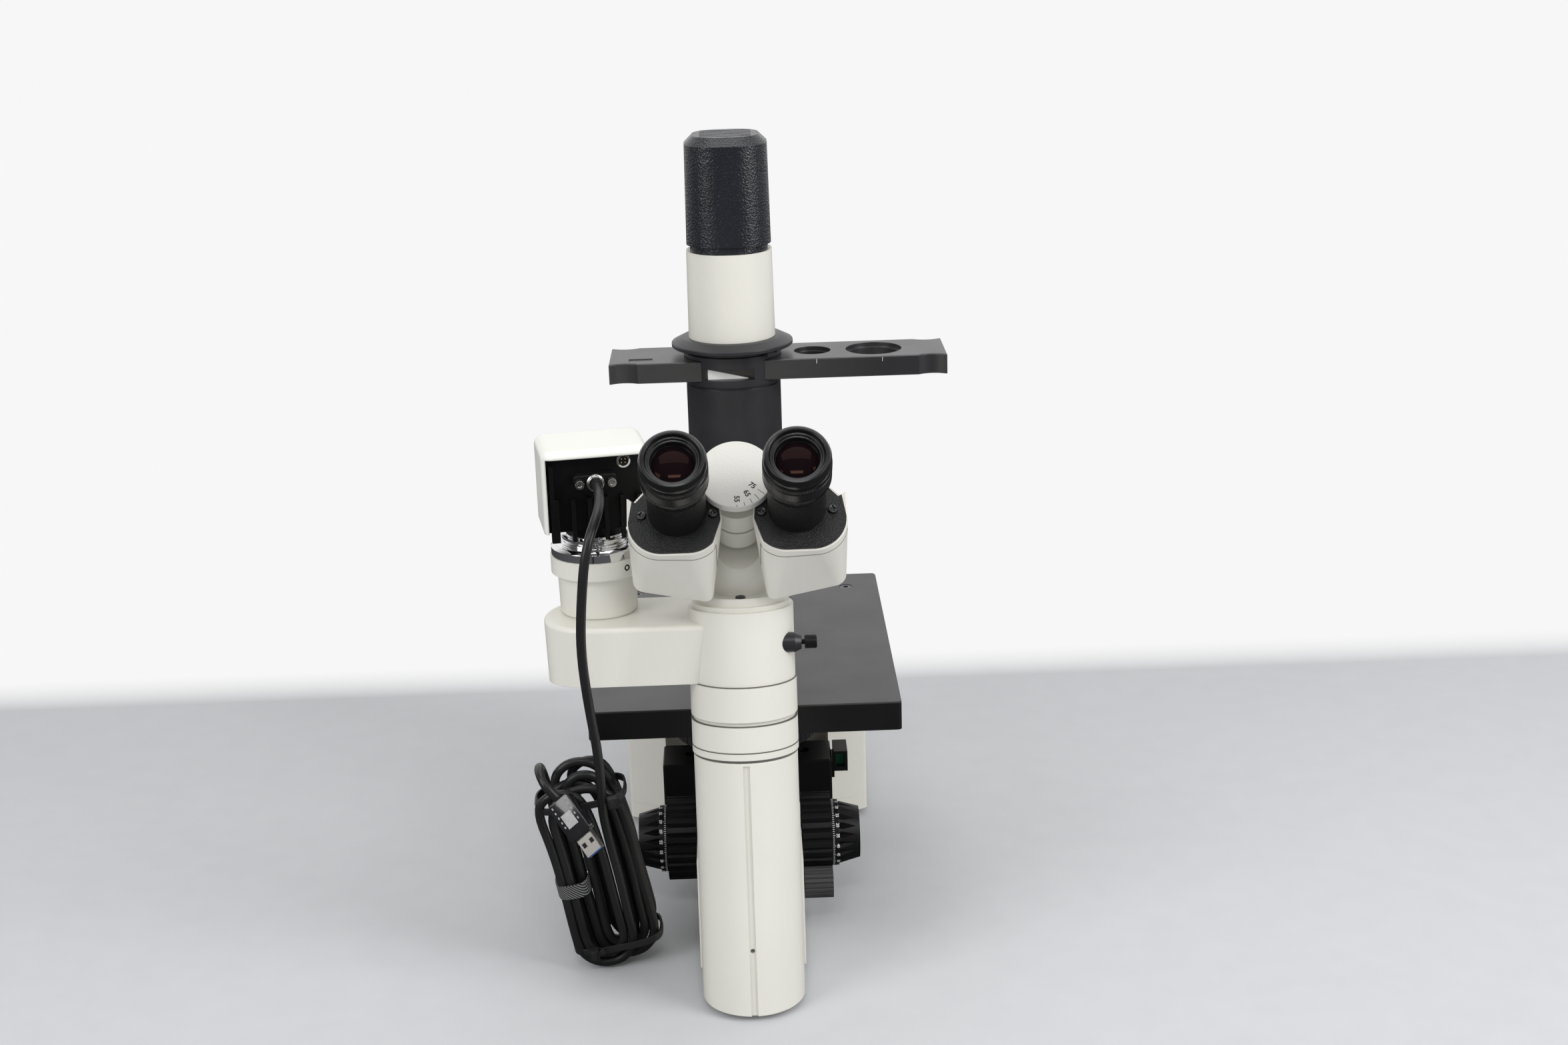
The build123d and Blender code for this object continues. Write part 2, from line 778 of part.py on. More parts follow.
# Eyepiece, turned about its own axis: barrel, tapered neck, knurled band and a dished eye end
with BuildPart() as eyepiece:
    with BuildSketch(Plane.XZ):
        with BuildLine():
            Polyline(
                (0, 4),
                (tube_bore - running_gap, 4),
                (tube_bore - running_gap, tube_length + 0.4),
                (17, tube_length + 0.4),
                (17.4, 33.5),
                (20.2, 38),
                (20.2, 53.6),
                (19.2, 55),
                (19.8, 58.5),
                (18.6, 62),
                (16.4, 62.6),
                (13, 59.4),
                (12.2, 55),
                (0, 57),
                close=True,
            )
        make_face()
    revolve(axis=Axis.Z)
    with BuildSketch(Plane.XY.offset(38)):
        with PolarLocations(20.5, 36):
            Rectangle(1, 1, rotation=45)
    extrude(amount=4, mode=Mode.SUBTRACT)
for side, name in ((1, "right_eyepiece"), (-1, "left_eyepiece")):
    eye_centre = head.from_local_coords((side * eye_offset, -eye_drop, 0))
    seat = Plane(origin=eye_centre, x_dir=(1, 0, 0), z_dir=head.z_dir)
    pieces[name] = eyepiece.part.moved(seat.location)

# Stage: plate with a seat for the round insert and a pocket below for the turning objectives
screw_x = stage_width / 2 - 24
screw_y = stage_depth / 2 - 30
screw_places = [(-screw_x, screw_y), (screw_x, screw_y)]
with BuildPart() as stage_plate:
    with BuildSketch(Plane.XY.offset(stage_low)):
        RectangleRounded(stage_width, stage_depth, 3)
    extrude(amount=stage_thick)
    chamfer(stage_plate.faces().sort_by(Axis.Z)[-1].edges(), 0.8)
    with Locations((0, turret_offset, stage_low)):
        Cylinder(
            40,
            13.4,
            align=(Align.CENTER, Align.CENTER, Align.MIN),
            mode=Mode.SUBTRACT,
        )
    with Locations((0, 0, stage_top)):
        CounterBoreHole(insert_radius - 4, insert_radius, insert_thick)
        with Locations(*screw_places):
            CounterBoreHole(2.6, 4.7, 4.5)
pieces["stage_plate"] = stage_plate

with BuildPart() as stage_insert:
    with BuildSketch(Plane.XY.offset(stage_top - insert_thick)):
        Circle(insert_radius - 0.1)
        Circle(11, mode=Mode.SUBTRACT)
    extrude(amount=insert_thick)
    chamfer(stage_insert.faces().sort_by(Axis.Z)[-1].inner_wires()[0].edges(), 1.5)
pieces["stage_insert"] = stage_insert

with BuildPart() as stage_screws:
    with BuildSketch(Plane.XY.offset(stage_top - 4.5)):
        with Locations(*screw_places):
            Circle(4.4)
    extrude(amount=4.2)
    with BuildSketch(Plane.XY.offset(stage_top - 2.6)):
        with Locations(*screw_places):
            RegularPolygon(2.2, 6)
    extrude(amount=4, mode=Mode.SUBTRACT)
    with BuildSketch(Plane.XY.offset(stage_top - 4.5)):
        with Locations(*screw_places):
            Circle(2.5)
    extrude(amount=-14)
pieces["stage_screws"] = stage_screws

# Filter housing across the saddle, with its slot, and the slider with a window in its handle
with BuildPart() as filter_housing:
    with BuildSketch(Plane.XY.offset(saddle_top)):
        with Locations((0, 2.8)):
            RectangleRounded(120, 37.4, 2)
    extrude(amount=32)
    chamfer(filter_housing.faces().sort_by(Axis.Z)[-1].edges(), 0.8)
    with Locations((8, 0, 70.5)):
        Box(106, 22.6, 13, mode=Mode.SUBTRACT)
    with Locations((0, 0, saddle_top)):
        Cylinder(9, 80, mode=Mode.SUBTRACT)
    with Locations((-40, 4, 80), (40, 4, 80)):
        CounterBoreHole(2, 4.5, 3, 2.9)
pieces["filter_housing"] = filter_housing

with BuildPart() as filter_slider:
    with Locations((11, 0, 70.5)):
        Box(102, 22, 12.4)
    with Locations((66.5, 0, 76.5)):
        Box(10, 22, 15)
    with Locations((0, 0, 70.5), (-28, 0, 70.5)):
        Cylinder(8, 20, mode=Mode.SUBTRACT)
    with Locations((66.5, 0, 77)):
        Box(6, 40, 10, mode=Mode.SUBTRACT)
pieces["filter_slider"] = filter_slider

with BuildPart() as filter_glass:
    with Locations((66.5, -4, 77)):
        Box(6, 3, 10)
    with Locations((-28, 0, 70.5)):
        Cylinder(7.97, 3)
pieces["filter_glass"] = filter_glass

# Focus carrier: bracket that slides in the recess, with a light hole and the turret's axle
with BuildPart() as focus_carrier:
    with BuildSketch(Plane.XY.offset(carrier_low)):
        Rectangle(52, 24)
        with Locations((0, 40)):
            Rectangle(52, 78)
        Circle(9, mode=Mode.SUBTRACT)
    extrude(amount=5.6)
    with Locations((0, 83, 64)):
        Box(56, 9.4, 54, align=(Align.CENTER, Align.CENTER, Align.MIN))
    with Locations((0, turret_offset, carrier_low)):
        Cylinder(axle_radius, 22, align=(Align.CENTER, Align.CENTER, Align.MIN))
pieces["focus_carrier"] = focus_carrier

# Nosepiece: domed turret with a knurled rim and four seats around its axle
seats = [(0, -turret_offset), (turret_offset, 0), (0, turret_offset), (-turret_offset, 0)]
with BuildPart() as nosepiece:
    with BuildSketch(Plane.XZ):
        with BuildLine():
            Polyline(
                (axle_radius + running_gap, turret_low),
                (turret_radius - 1, turret_low),
                (turret_radius, turret_low + 1),
                (turret_radius, turret_low + 8.5),
                (turret_radius - 3, turret_low + 9.5),
                (38, turret_high),
                (0, turret_high),
                (0, 107),
                (axle_radius + running_gap, 107),
                close=True,
            )
        make_face()
    revolve(axis=Axis.Z)
    with BuildSketch(Plane.XY.offset(turret_low)):
        with PolarLocations(turret_radius + 0.3, 60):
            Rectangle(1.8, 1.8, rotation=45)
    extrude(amount=8.5, mode=Mode.SUBTRACT)
    with BuildSketch(Plane.XY.offset(turret_low)):
        with Locations(*seats):
            Circle(9)
    extrude(amount=40, mode=Mode.SUBTRACT)
pieces["nosepiece"] = nosepiece.part.moved(Location((0, turret_offset, 0)))

# Three objectives, turned barrels with their thread in the seat, and the fourth seat left free
objective_lengths = [35, 31, 27]
for number, (seat_at, length) in enumerate(zip(seats, objective_lengths), start=1):
    with BuildPart() as objective:
        with BuildSketch(Plane.XZ):
            with BuildLine():
                Polyline(
                    (0, turret_high - 5),
                    (8.97, turret_high - 5),
                    (8.97, turret_high),
                    (11.5, turret_high),
                    (11.5, turret_high + 0.62 * length),
                    (9.5, turret_high + 0.68 * length),
                    (9.5, turret_high + 0.86 * length),
                    (5, turret_high + length),
                    (3.5, turret_high + length),
                    (0, turret_high + length - 0.8),
                    close=True,
                )
            make_face()
        revolve(axis=Axis.Z)
    seat_place = Location((seat_at[0], seat_at[1] + turret_offset, 0))
    pieces[f"objective_{number}"] = objective.part.moved(seat_place)

# Coaxial focus drive: hollow coarse shaft, fine shaft through it, fluted knobs on both sides
with BuildPart() as coarse_shaft:
    with Locations((0, knob_y, knob_z)):
        Cylinder(coarse_shaft_radius, 2 * coarse_start + 30, rotation=(0, 90, 0))
        Cylinder(fine_shaft_radius + running_gap, 140, rotation=(0, 90, 0), mode=Mode.SUBTRACT)
pieces["coarse_shaft"] = coarse_shaft

with BuildPart() as fine_shaft:
    with Locations((0, knob_y, knob_z)):
        Cylinder(fine_shaft_radius, 2 * (coarse_start + coarse_length) + 24, rotation=(0, 90, 0))
pieces["fine_shaft"] = fine_shaft

knob_face = Plane.YZ.shift_origin((0, knob_y, knob_z))
with BuildPart() as coarse_knob_right:
    with BuildSketch(knob_face.offset(coarse_start)):
        Circle(coarse_radius)
        with PolarLocations(coarse_radius + 0.5, 26):
            Rectangle(3, 3, rotation=45, mode=Mode.SUBTRACT)
    extrude(amount=coarse_length)
    with BuildSketch(knob_face.offset(coarse_start + coarse_length - 5)):
        Circle(dial_radius + 1)
    extrude(amount=6, mode=Mode.SUBTRACT)
    with BuildSketch(knob_face.offset(coarse_start)):
        Circle(coarse_shaft_radius + 0.02)
    extrude(amount=coarse_length, mode=Mode.SUBTRACT)
pieces["coarse_knob_right"] = coarse_knob_right

with BuildPart() as coarse_knob_left:
    add(mirror(coarse_knob_right.part, about=Plane.YZ, mode=Mode.PRIVATE))
pieces["coarse_knob_left"] = coarse_knob_left

fine_start = coarse_start + coarse_length - 4.4
with BuildPart() as fine_knob_right:
    with BuildSketch(knob_face.offset(fine_start)):
        Circle(dial_radius)
    extrude(amount=9.4)
    with BuildSketch(knob_face.offset(fine_start + 9.4)):
        Circle(21.4)
    extrude(amount=fine_length - 4.4, taper=15)
    with BuildSketch(knob_face.offset(fine_start + 9.4)):
        with PolarLocations(20.6, 20):
            Rectangle(3.4, 3.4, rotation=45)
    extrude(amount=fine_length, mode=Mode.SUBTRACT)
    with BuildSketch(knob_face.offset(fine_start)):
        Circle(fine_shaft_radius + 0.02)
    extrude(amount=16.4, mode=Mode.SUBTRACT)
pieces["fine_knob_right"] = fine_knob_right

with BuildPart() as fine_knob_left:
    add(mirror(fine_knob_right.part, about=Plane.YZ, mode=Mode.PRIVATE))
pieces["fine_knob_left"] = fine_knob_left

with BuildPart() as brightness_knob:
    brightness_face = Plane.YZ.shift_origin((0, -110, 31))
    with BuildSketch(brightness_face.offset(coarse_start)):
        Circle(10.5)
        with PolarLocations(10.8, 18):
            Rectangle(1.5, 1.5, rotation=45, mode=Mode.SUBTRACT)
    extrude(amount=19.5)
    with BuildSketch(brightness_face.offset(22)):
        Circle(3)
    extrude(amount=coarse_start - 22)
pieces["brightness_knob"] = brightness_knob

# Pillar behind the stage with the bracket that carries the illumination
bracket_top = housing_high - 0.5
bracket_thick = 31.5
with BuildPart() as pillar:
    with BuildSketch(Plane.XY.offset(stage_low)):
        with Locations((0, pillar_y)):
            RectangleRounded(pillar_width, pillar_depth, 9)
    extrude(amount=bracket_top - stage_low)
    with BuildSketch(Plane.YZ):
        with BuildLine():
            Polyline(
                (10, bracket_top),
                (pillar_y, bracket_top),
                (pillar_y, bracket_top - 58.5),
                (pillar_y - pillar_depth / 2, bracket_top - 58.5),
                (pillar_y - pillar_depth / 2 - bracket_thick, bracket_top - bracket_thick),
                (10, bracket_top - bracket_thick),
                close=True,
            )
        make_face()
    extrude(amount=21, both=True)
    with Locations((0, 0, bracket_top)):
        Cylinder(housing_radius + running_gap, 3 * bracket_thick, mode=Mode.SUBTRACT)
    top_rims = pillar.faces().sort_by(Axis.Z)[-1].edges()
    chamfer(top_rims.filter_by_position(Axis.Y, housing_radius + 1, box_back), 1.5)
pieces["pillar"] = pillar

# Condenser: tube with a turned step and a tapered nose, and its lens
with BuildPart() as condenser_tube:
    with BuildSketch(Plane.XZ):
        with BuildLine():
            Polyline(
                (condenser_bore, condenser_low),
                (22, condenser_low),
                (24, condenser_low + 18),
                (condenser_radius, condenser_low + 38),
                (condenser_radius, housing_low - 2),
                (condenser_radius - 1, housing_low - 2),
                (condenser_radius - 1, housing_low),
                (condenser_bore, housing_low),
                close=True,
            )
        make_face()
    revolve(axis=Axis.Z)
pieces["condenser_tube"] = condenser_tube

lens_rim = condenser_bore - 0.04
lens_bulge = 8.0
lens_curve = (lens_rim**2 + lens_bulge**2) / (2 * lens_bulge)
with BuildPart() as condenser_lens:
    with Locations((0, 0, condenser_low + 1)):
        Cylinder(lens_rim, 3, align=(Align.CENTER, Align.CENTER, Align.MIN))
    with BuildSketch(Plane.XZ):
        with BuildLine():
            dome_low = condenser_low + 4
            dome_high = dome_low + lens_bulge
            Polyline((0, dome_high), (0, dome_low), (lens_rim, dome_low))
            RadiusArc((0, dome_high), (lens_rim, dome_low), lens_curve)
        make_face()
    revolve(axis=Axis.Z)
pieces["condenser_lens"] = condenser_lens

# Slider housing with the slot for the phase slider and the window in its front wall
with BuildPart() as slider_housing:
    with BuildSketch(Plane.XY.offset(housing_low)):
        Circle(housing_radius)
        Circle(condenser_bore, mode=Mode.SUBTRACT)
    extrude(amount=housing_high - housing_low)
    with Locations((0, 0, (slider_low + slider_high) / 2)):
        Box(
            100,
            2 * (slider_half_depth + slide_gap),
            slider_high - slider_low + 2 * slide_gap,
            mode=Mode.SUBTRACT,
        )
    with Locations((-2.5, -slider_half_depth - 5, housing_low + 8.5)):
        Box(33, 20, 7.4, mode=Mode.SUBTRACT)
pieces["slider_housing"] = slider_housing

# Phase slider: long bar with three openings and finger grips at both ends
with BuildPart() as phase_slider:
    slider_middle = (slider_left + slider_right) / 2
    with BuildSketch(Plane.XY.offset(slider_low)) as slider_plan:
        with Locations((slider_middle, 0)):
            Rectangle(slider_right - slider_left, 2 * slider_half_depth)
        with Locations((slider_left + 10, -37), (slider_left + 10, 37)):
            Circle(15, mode=Mode.SUBTRACT)
        with Locations((slider_right - 10, -37), (slider_right - 10, 37)):
            Circle(15, mode=Mode.SUBTRACT)
    extrude(amount=slider_high - slider_low)
    chamfer(phase_slider.faces().sort_by(Axis.Z)[-1].edges(), 0.6)
    with Locations((12, 0, slider_high)):
        CounterBoreHole(14, 16, 8)
    with Locations((54, 0, slider_high)):
        CounterBoreHole(11, 12.5, 3)
    with Locations((95.6, 0, slider_high)):
        CounterBoreHole(17, 19, 3)
    with Locations((-62, -14, slider_high)):
        Box(16, 9, 1.2, mode=Mode.SUBTRACT)
pieces["phase_slider"] = phase_slider

# Diaphragm: conical flange on a sleeve, and the lever ring that turns around the sleeve
with BuildPart() as diaphragm_ring:
    with BuildSketch(Plane.XZ):
        with BuildLine():
            Polyline(
                (condenser_bore, housing_high),
                (sleeve_radius, housing_high),
                (sleeve_radius, housing_high + 3.3),
                (flange_radius - 4, housing_high + 3.3),
                (flange_radius, housing_high + 5),
                (flange_radius, housing_high + 6),
                (34, lamp_tube_low),
                (condenser_bore, lamp_tube_low),
                close=True,
            )
        make_face()
    revolve(axis=Axis.Z)
pieces["diaphragm_ring"] = diaphragm_ring

with BuildPart() as aperture_lever:
    with BuildSketch(Plane.XY.offset(housing_high + 0.4)):
        Circle(32)
        with Locations(Location((0, 0), -48)):
            with Locations((34.5, 0)):
                RectangleRounded(9, 6, 1.5)
        Circle(sleeve_radius + running_gap, mode=Mode.SUBTRACT)
    extrude(amount=2.4)
pieces["aperture_lever"] = aperture_lever

# Lamp: cream tube, black house with slots on top and a vent groove at its foot, lamp inside
with BuildPart() as lamp_tube:
    with BuildSketch(Plane.XY.offset(lamp_tube_low)):
        Circle(lamp_tube_radius)
    extrude(amount=lamp_tube_high - lamp_tube_low, taper=0.6)
    with BuildSketch(Plane.XY.offset(lamp_tube_low)):
        Circle(24)
    extrude(amount=lamp_tube_high - lamp_tube_low, mode=Mode.SUBTRACT)
pieces["lamp_tube"] = lamp_tube

with BuildPart() as lamp_house:
    with BuildSketch(Plane.XY.offset(lamp_tube_high)):
        RectangleRounded(lamp_width + 0.6, lamp_depth, 23)
    extrude(amount=lamp_top - lamp_tube_high, taper=0.7)
    chamfer(lamp_house.faces().sort_by(Axis.Z)[-1].edges(), 5.5)
    with BuildSketch(Plane.XY.offset(lamp_tube_high)):
        Circle(24)
    extrude(amount=lamp_length - lamp_roof, mode=Mode.SUBTRACT)
    with BuildSketch(Plane.XY.offset(lamp_tube_high)):
        Rectangle(80, 80)
        RectangleRounded(lamp_width - 4, lamp_depth - 4, 22, mode=Mode.SUBTRACT)
    extrude(amount=vent_height, mode=Mode.SUBTRACT)
    with Locations((0, 0, lamp_top)):
        with GridLocations(1, 6.4, 1, 6):
            Box(34, 2.6, 5, mode=Mode.SUBTRACT)
pieces["lamp_house"] = lamp_house

with BuildPart() as lamp_bulb:
    with Locations((0, 0, lamp_top - lamp_roof)):
        Cylinder(12, 18, align=(Align.CENTER, Align.CENTER, Align.MAX))
    with Locations((0, 0, lamp_top - lamp_roof - 28)):
        Cylinder(6, 22)
    with Locations((0, 0, lamp_top - lamp_roof - 39)):
        Sphere(6)
pieces["lamp_bulb"] = lamp_bulb

# Everything moves onto the frame's origin and goes out under its own name
onto_origin = Location((optic_x, optic_y, 0))
for name, piece in pieces.items():
    solid = piece.part if isinstance(piece, BuildPart) else piece
    solid = solid.moved(onto_origin)
    solid.label = name
    export_step(solid, f"parts/{name}.step")

print("bend radii", [round(radius, 1) for radius in cord_bends])
cord_length = sum(edge.length for edge in cord_route.edges())
print("cord run", round(cord_length, 1), "volume", round(data_cord.part.volume, 1))
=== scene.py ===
import json
from math import cos, pi, radians, sin

import bmesh
import bpy
from mathutils import Matrix, Vector


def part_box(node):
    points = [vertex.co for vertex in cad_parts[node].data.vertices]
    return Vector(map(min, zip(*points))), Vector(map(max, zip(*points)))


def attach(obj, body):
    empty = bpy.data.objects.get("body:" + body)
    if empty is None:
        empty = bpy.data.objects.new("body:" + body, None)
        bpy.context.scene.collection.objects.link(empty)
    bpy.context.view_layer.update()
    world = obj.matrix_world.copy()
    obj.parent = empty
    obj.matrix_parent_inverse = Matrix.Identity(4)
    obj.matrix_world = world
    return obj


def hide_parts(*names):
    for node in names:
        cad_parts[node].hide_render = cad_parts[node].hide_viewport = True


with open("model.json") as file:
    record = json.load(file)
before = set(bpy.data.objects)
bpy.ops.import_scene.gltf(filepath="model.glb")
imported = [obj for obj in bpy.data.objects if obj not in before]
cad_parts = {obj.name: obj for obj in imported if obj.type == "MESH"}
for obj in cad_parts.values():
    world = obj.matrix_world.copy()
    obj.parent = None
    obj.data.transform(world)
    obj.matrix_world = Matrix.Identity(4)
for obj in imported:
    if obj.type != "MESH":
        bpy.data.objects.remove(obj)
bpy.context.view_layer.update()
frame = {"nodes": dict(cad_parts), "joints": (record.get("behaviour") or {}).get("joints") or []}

# The view: a camera a metre and a half in front of the optical axis and well above the eyepieces,
# looking down. Places are given in millimetres from that axis, which the condenser stands around.
condenser_low, condenser_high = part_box("condenser_tube")
optical_axis = Vector((
    (condenser_low[0] + condenser_high[0]) / 2,
    (condenser_low[1] + condenser_high[1]) / 2,
    0,
))


def spot(x, y, z):
    """A point in millimetres from the optical axis and the floor, in the frame's metres."""
    return optical_axis + Vector((x, y, z)) / 1000


pitch = radians(16.96)
yaw = radians(1.014)
roll = radians(1.706)
ahead = Vector((sin(yaw) * cos(pitch), cos(yaw) * cos(pitch), -sin(pitch)))
level_right = Vector((cos(yaw), -sin(yaw), 0))
level_up = level_right.cross(ahead)
view_right = cos(roll) * level_right - sin(roll) * level_up
view_up = sin(roll) * level_right + cos(roll) * level_up
lens = bpy.data.cameras.new("photo_lens")
lens.sensor_width = 36
lens.lens = 51.35
viewer = bpy.data.objects.new("viewer", lens)
view_place = spot(5.1, -1485.5, 705.5)
view_turn = Matrix((view_right, view_up, -ahead)).transposed()
viewer.matrix_world = Matrix.LocRotScale(view_place, view_turn, None)
bpy.context.scene.collection.objects.link(viewer)
bpy.context.scene.camera = viewer
bpy.context.scene.view_settings.view_transform = "Standard"


# The table: grey paper under the microscope that runs into a white sheet behind it, and soft light
# from two tall boxes, one overhead and a strip in front. Nothing here belongs to the object.
class Wire:
    """A socket in a material's nodes, so that shader maths reads as Python."""

    def __init__(self, tree, socket=None):
        self.tree = tree
        self.socket = socket

    def node(self, kind, settings=None, inputs=None, output=0):
        """Adds a node, sets it, feeds its sockets and gives back one of its outputs."""
        made = self.tree.nodes.new(kind)
        for name, value in (settings or {}).items():
            setattr(made, name, value)
        for name, value in (inputs or {}).items():
            if isinstance(value, Wire):
                self.tree.links.new(value.socket, made.inputs[name])
            else:
                made.inputs[name].default_value = value
        return Wire(self.tree, made.outputs[output] if made.outputs else None)

    def math(self, operation, *values):
        """A Math node on these values."""
        return self.node("ShaderNodeMath", {"operation": operation}, dict(enumerate(values)))

    def between(self, first, second):
        """The colour that goes from the first to the second as this value goes from 0 to 1."""
        return self.node("ShaderNodeMix", {"data_type": "RGBA"}, {0: self, 6: first, 7: second}, 2)

    def ramp(self, low, high):
        """This value stretched so that low becomes 0 and high becomes 1, and held there."""
        return self.node("ShaderNodeMapRange", {}, {0: self, 1: low, 2: high})

    def __add__(self, other):
        return self.math("ADD", self, other)

    def __sub__(self, other):
        return self.math("SUBTRACT", self, other)

    def __rsub__(self, other):
        return self.math("SUBTRACT", other, self)

    def __mul__(self, other):
        return self.math("MULTIPLY", self, other)

    __radd__ = __add__
    __rmul__ = __mul__


def new_material(name):
    """An empty material and a wire into its nodes."""
    material = bpy.data.materials.new(name)
    material.use_nodes = True
    material.node_tree.nodes.clear()
    return material, Wire(material.node_tree)


paper, wire = new_material("paper")
ground = wire.node("ShaderNodeTexCoord", {}, {}, "Object")
paper_y = wire.node("ShaderNodeSeparateXYZ", {}, {0: ground}, "Y")
sheet_start, sheet_full = 0.40, 0.47
white_sheet = paper_y.ramp(sheet_start, sheet_full)
fibre = wire.node("ShaderNodeTexNoise", {}, {"Vector": ground, "Scale": 40.0, "Detail": 4.0})
grey_paper = fibre.between((0.57, 0.58, 0.60, 1), (0.61, 0.62, 0.64, 1))
sheet_tone = white_sheet.between(grey_paper, (0.9, 0.9, 0.9, 1))
# Glossy rays see the paper near black: a painted dark reflection in place of its grey tone.
mirrored = wire.node("ShaderNodeLightPath", {}, {}, "Is Glossy Ray")
table_tone = mirrored.between(sheet_tone, (0.07, 0.07, 0.075, 1))
matt = wire.node("ShaderNodeBsdfDiffuse", {}, {"Color": table_tone})
glow = wire.node("ShaderNodeEmission", {}, {"Color": (1, 1, 1, 1), "Strength": 0.93})
seen = wire.node("ShaderNodeLightPath", {}, {}, "Is Camera Ray")
table_look = wire.node("ShaderNodeMixShader", {}, {0: white_sheet * seen, 1: matt, 2: glow})
wire.node("ShaderNodeOutputMaterial", {}, {"Surface": table_look})

table_half = 3.0
table_height = -0.0002
table_mesh = bpy.data.meshes.new("table")
table_corners = [(-1, -1), (1, -1), (1, 1), (-1, 1)]
table_points = [(table_half * x, table_half * y, table_height) for x, y in table_corners]
table_mesh.from_pydata(table_points, [], [(0, 1, 2, 3)])
table_mesh.materials.append(paper)
table = bpy.data.objects.new("table", table_mesh)
bpy.context.scene.collection.objects.link(table)

sky = bpy.data.worlds.new("sky")
sky.use_nodes = True
sky.node_tree.nodes.clear()
wire = Wire(sky.node_tree)
path = wire.node("ShaderNodeLightPath")
bare = Wire(sky.node_tree, path.socket.node.outputs["Is Camera Ray"])
shiny = Wire(sky.node_tree, path.socket.node.outputs["Is Glossy Ray"])
way = wire.node("ShaderNodeTexCoord", {}, {}, "Generated")
behind = wire.node("ShaderNodeSeparateXYZ", {}, {0: way}, "Y").ramp(0.0, 0.6)
even_light = 0.42
backdrop_glow = 0.51
mirrored_glow = 0.8 * behind - 0.3
sky_light = wire.node("ShaderNodeBackground", {}, {
    "Color": (1, 1, 1, 1),
    "Strength": even_light + backdrop_glow * bare + shiny * mirrored_glow,
})
wire.node("ShaderNodeOutputWorld", {}, {"Surface": sky_light})
bpy.context.scene.world = sky

soft_boxes = {
    "left_box": ((-1.5, -1.3, 1.25), (0.9, 1.5), 17),
    "right_box": ((1.6, -1.0, 1.2), (0.9, 1.5), 25),
    "top_box": ((0.0, 0.1, 2.2), (1.6, 1.6), 13),
    "front_strip": ((0.0, -1.9, 2.2), (1.0, 0.3), 9),
}
lit_point = Vector((0, 0, 0.25))
for name, (place, size, watts) in soft_boxes.items():
    lamp = bpy.data.lights.new(name, "AREA")
    lamp.shape = "RECTANGLE"
    lamp.size, lamp.size_y = size
    lamp.energy = watts
    box = bpy.data.objects.new(name, lamp)
    box.location = place
    box.rotation_euler = (lit_point - Vector(place)).to_track_quat("-Z", "Y").to_euler()
    bpy.context.scene.collection.objects.link(box)


# Stand: castings and turned rings in cream paint with a fine orange-peel grain. Rear box, low arm
# and leaning column are bolted together; the head, arm and port tubes are finished the same way.
def shaded(material, wire, colour, roughness, bump=None, edge=0.5, **even):
    """Ends a material in one Principled shader, with edges that look rounded by so many millimetres;
    even holds what is the same all over."""
    soft_edge = wire.node("ShaderNodeBevel", {"samples": 4}, {"Radius": edge / 1000})
    inputs = {"Base Color": colour, "Roughness": roughness, "Normal": soft_edge}
    if bump is not None:
        height, depth = bump
        relief = {"Height": height, "Distance": depth, "Strength": 1.0, "Normal": soft_edge}
        inputs["Normal"] = wire.node("ShaderNodeBump", {}, relief)
    for name, value in even.items():
        inputs[name.replace("_", " ").title().replace("Ior", "IOR")] = value
    shader = wire.node("ShaderNodeBsdfPrincipled", {}, inputs)
    wire.node("ShaderNodeOutputMaterial", {}, {"Surface": shader})
    return material


def noise(wire, scale, detail=3.0, stretch=None):
    """Smooth noise over the object, scale in waves per metre, stretched along an axis if asked."""
    place = wire.node("ShaderNodeTexCoord", {}, {}, "Object")
    if stretch:
        place = wire.node("ShaderNodeMapping", {}, {"Vector": place, "Scale": stretch})
    return wire.node("ShaderNodeTexNoise", {}, {"Vector": place, "Scale": scale, "Detail": detail})


def painted(name, light, dark, grain_scale, grain_depth, gloss, shine=0.5, edge=0.5):
    """Sprayed paint: two near tones in broad clouds, a peel of a given scale and a patchy gloss."""
    material, wire = new_material(name)
    cloud = noise(wire, scale=9.0)
    peel = noise(wire, scale=grain_scale, detail=2.0)
    handled = noise(wire, scale=28.0, detail=5.0)
    return shaded(
        material,
        wire,
        cloud.ramp(0.35, 0.65).between((*light, 1), (*dark, 1)),
        gloss + 0.16 * handled,
        (peel, grain_depth),
        edge,
        specular_ior_level=shine,
    )


nodes = frame["nodes"]


def dress(material, *names):
    """Gives CAD nodes their finish."""
    for name in names:
        for place in nodes[name].material_slots:
            place.material = material


cream_paint = painted(
    "cream_paint",
    light=(0.77, 0.755, 0.69),
    dark=(0.74, 0.725, 0.66),
    grain_scale=800.0,
    grain_depth=0.0001,
    gloss=0.28,
)
dress(
    cream_paint,
    "stand_body",
    "base_tray",
    "front_column",
    "column_ring",
    "spacer_ring",
    "photo_tube",
    "port_tube",
    "pillar",
    "head_base",
    "right_housing",
    "left_housing",
    "lamp_tube",
)

# Feet: five moulded rubber discs, four under the rear box and one under the low arm near the column.
# They are pressed into the underside, and dusty where they meet the bench.
foot_rubber, wire = new_material("foot_rubber")
dust = noise(wire, scale=120.0, detail=6.0)
shaded(
    foot_rubber,
    wire,
    dust.ramp(0.4, 0.8).between((0.02, 0.02, 0.021, 1), (0.07, 0.068, 0.064, 1)),
    0.75 + 0.2 * dust,
    (noise(wire, scale=2400.0), 0.00005),
)
dress(foot_rubber, "rubber_feet")

# Stage: a thick aluminium plate, anodised matt black, with a flush round insert and two socket
# screws near its rear corners.
stage_black = painted(
    "stage_black",
    light=(0.004, 0.0038, 0.004),
    dark=(0.007, 0.0066, 0.007),
    grain_scale=3000.0,
    grain_depth=0.00003,
    gloss=0.26,
    shine=0.7,
)
dress(stage_black, "stage_plate")


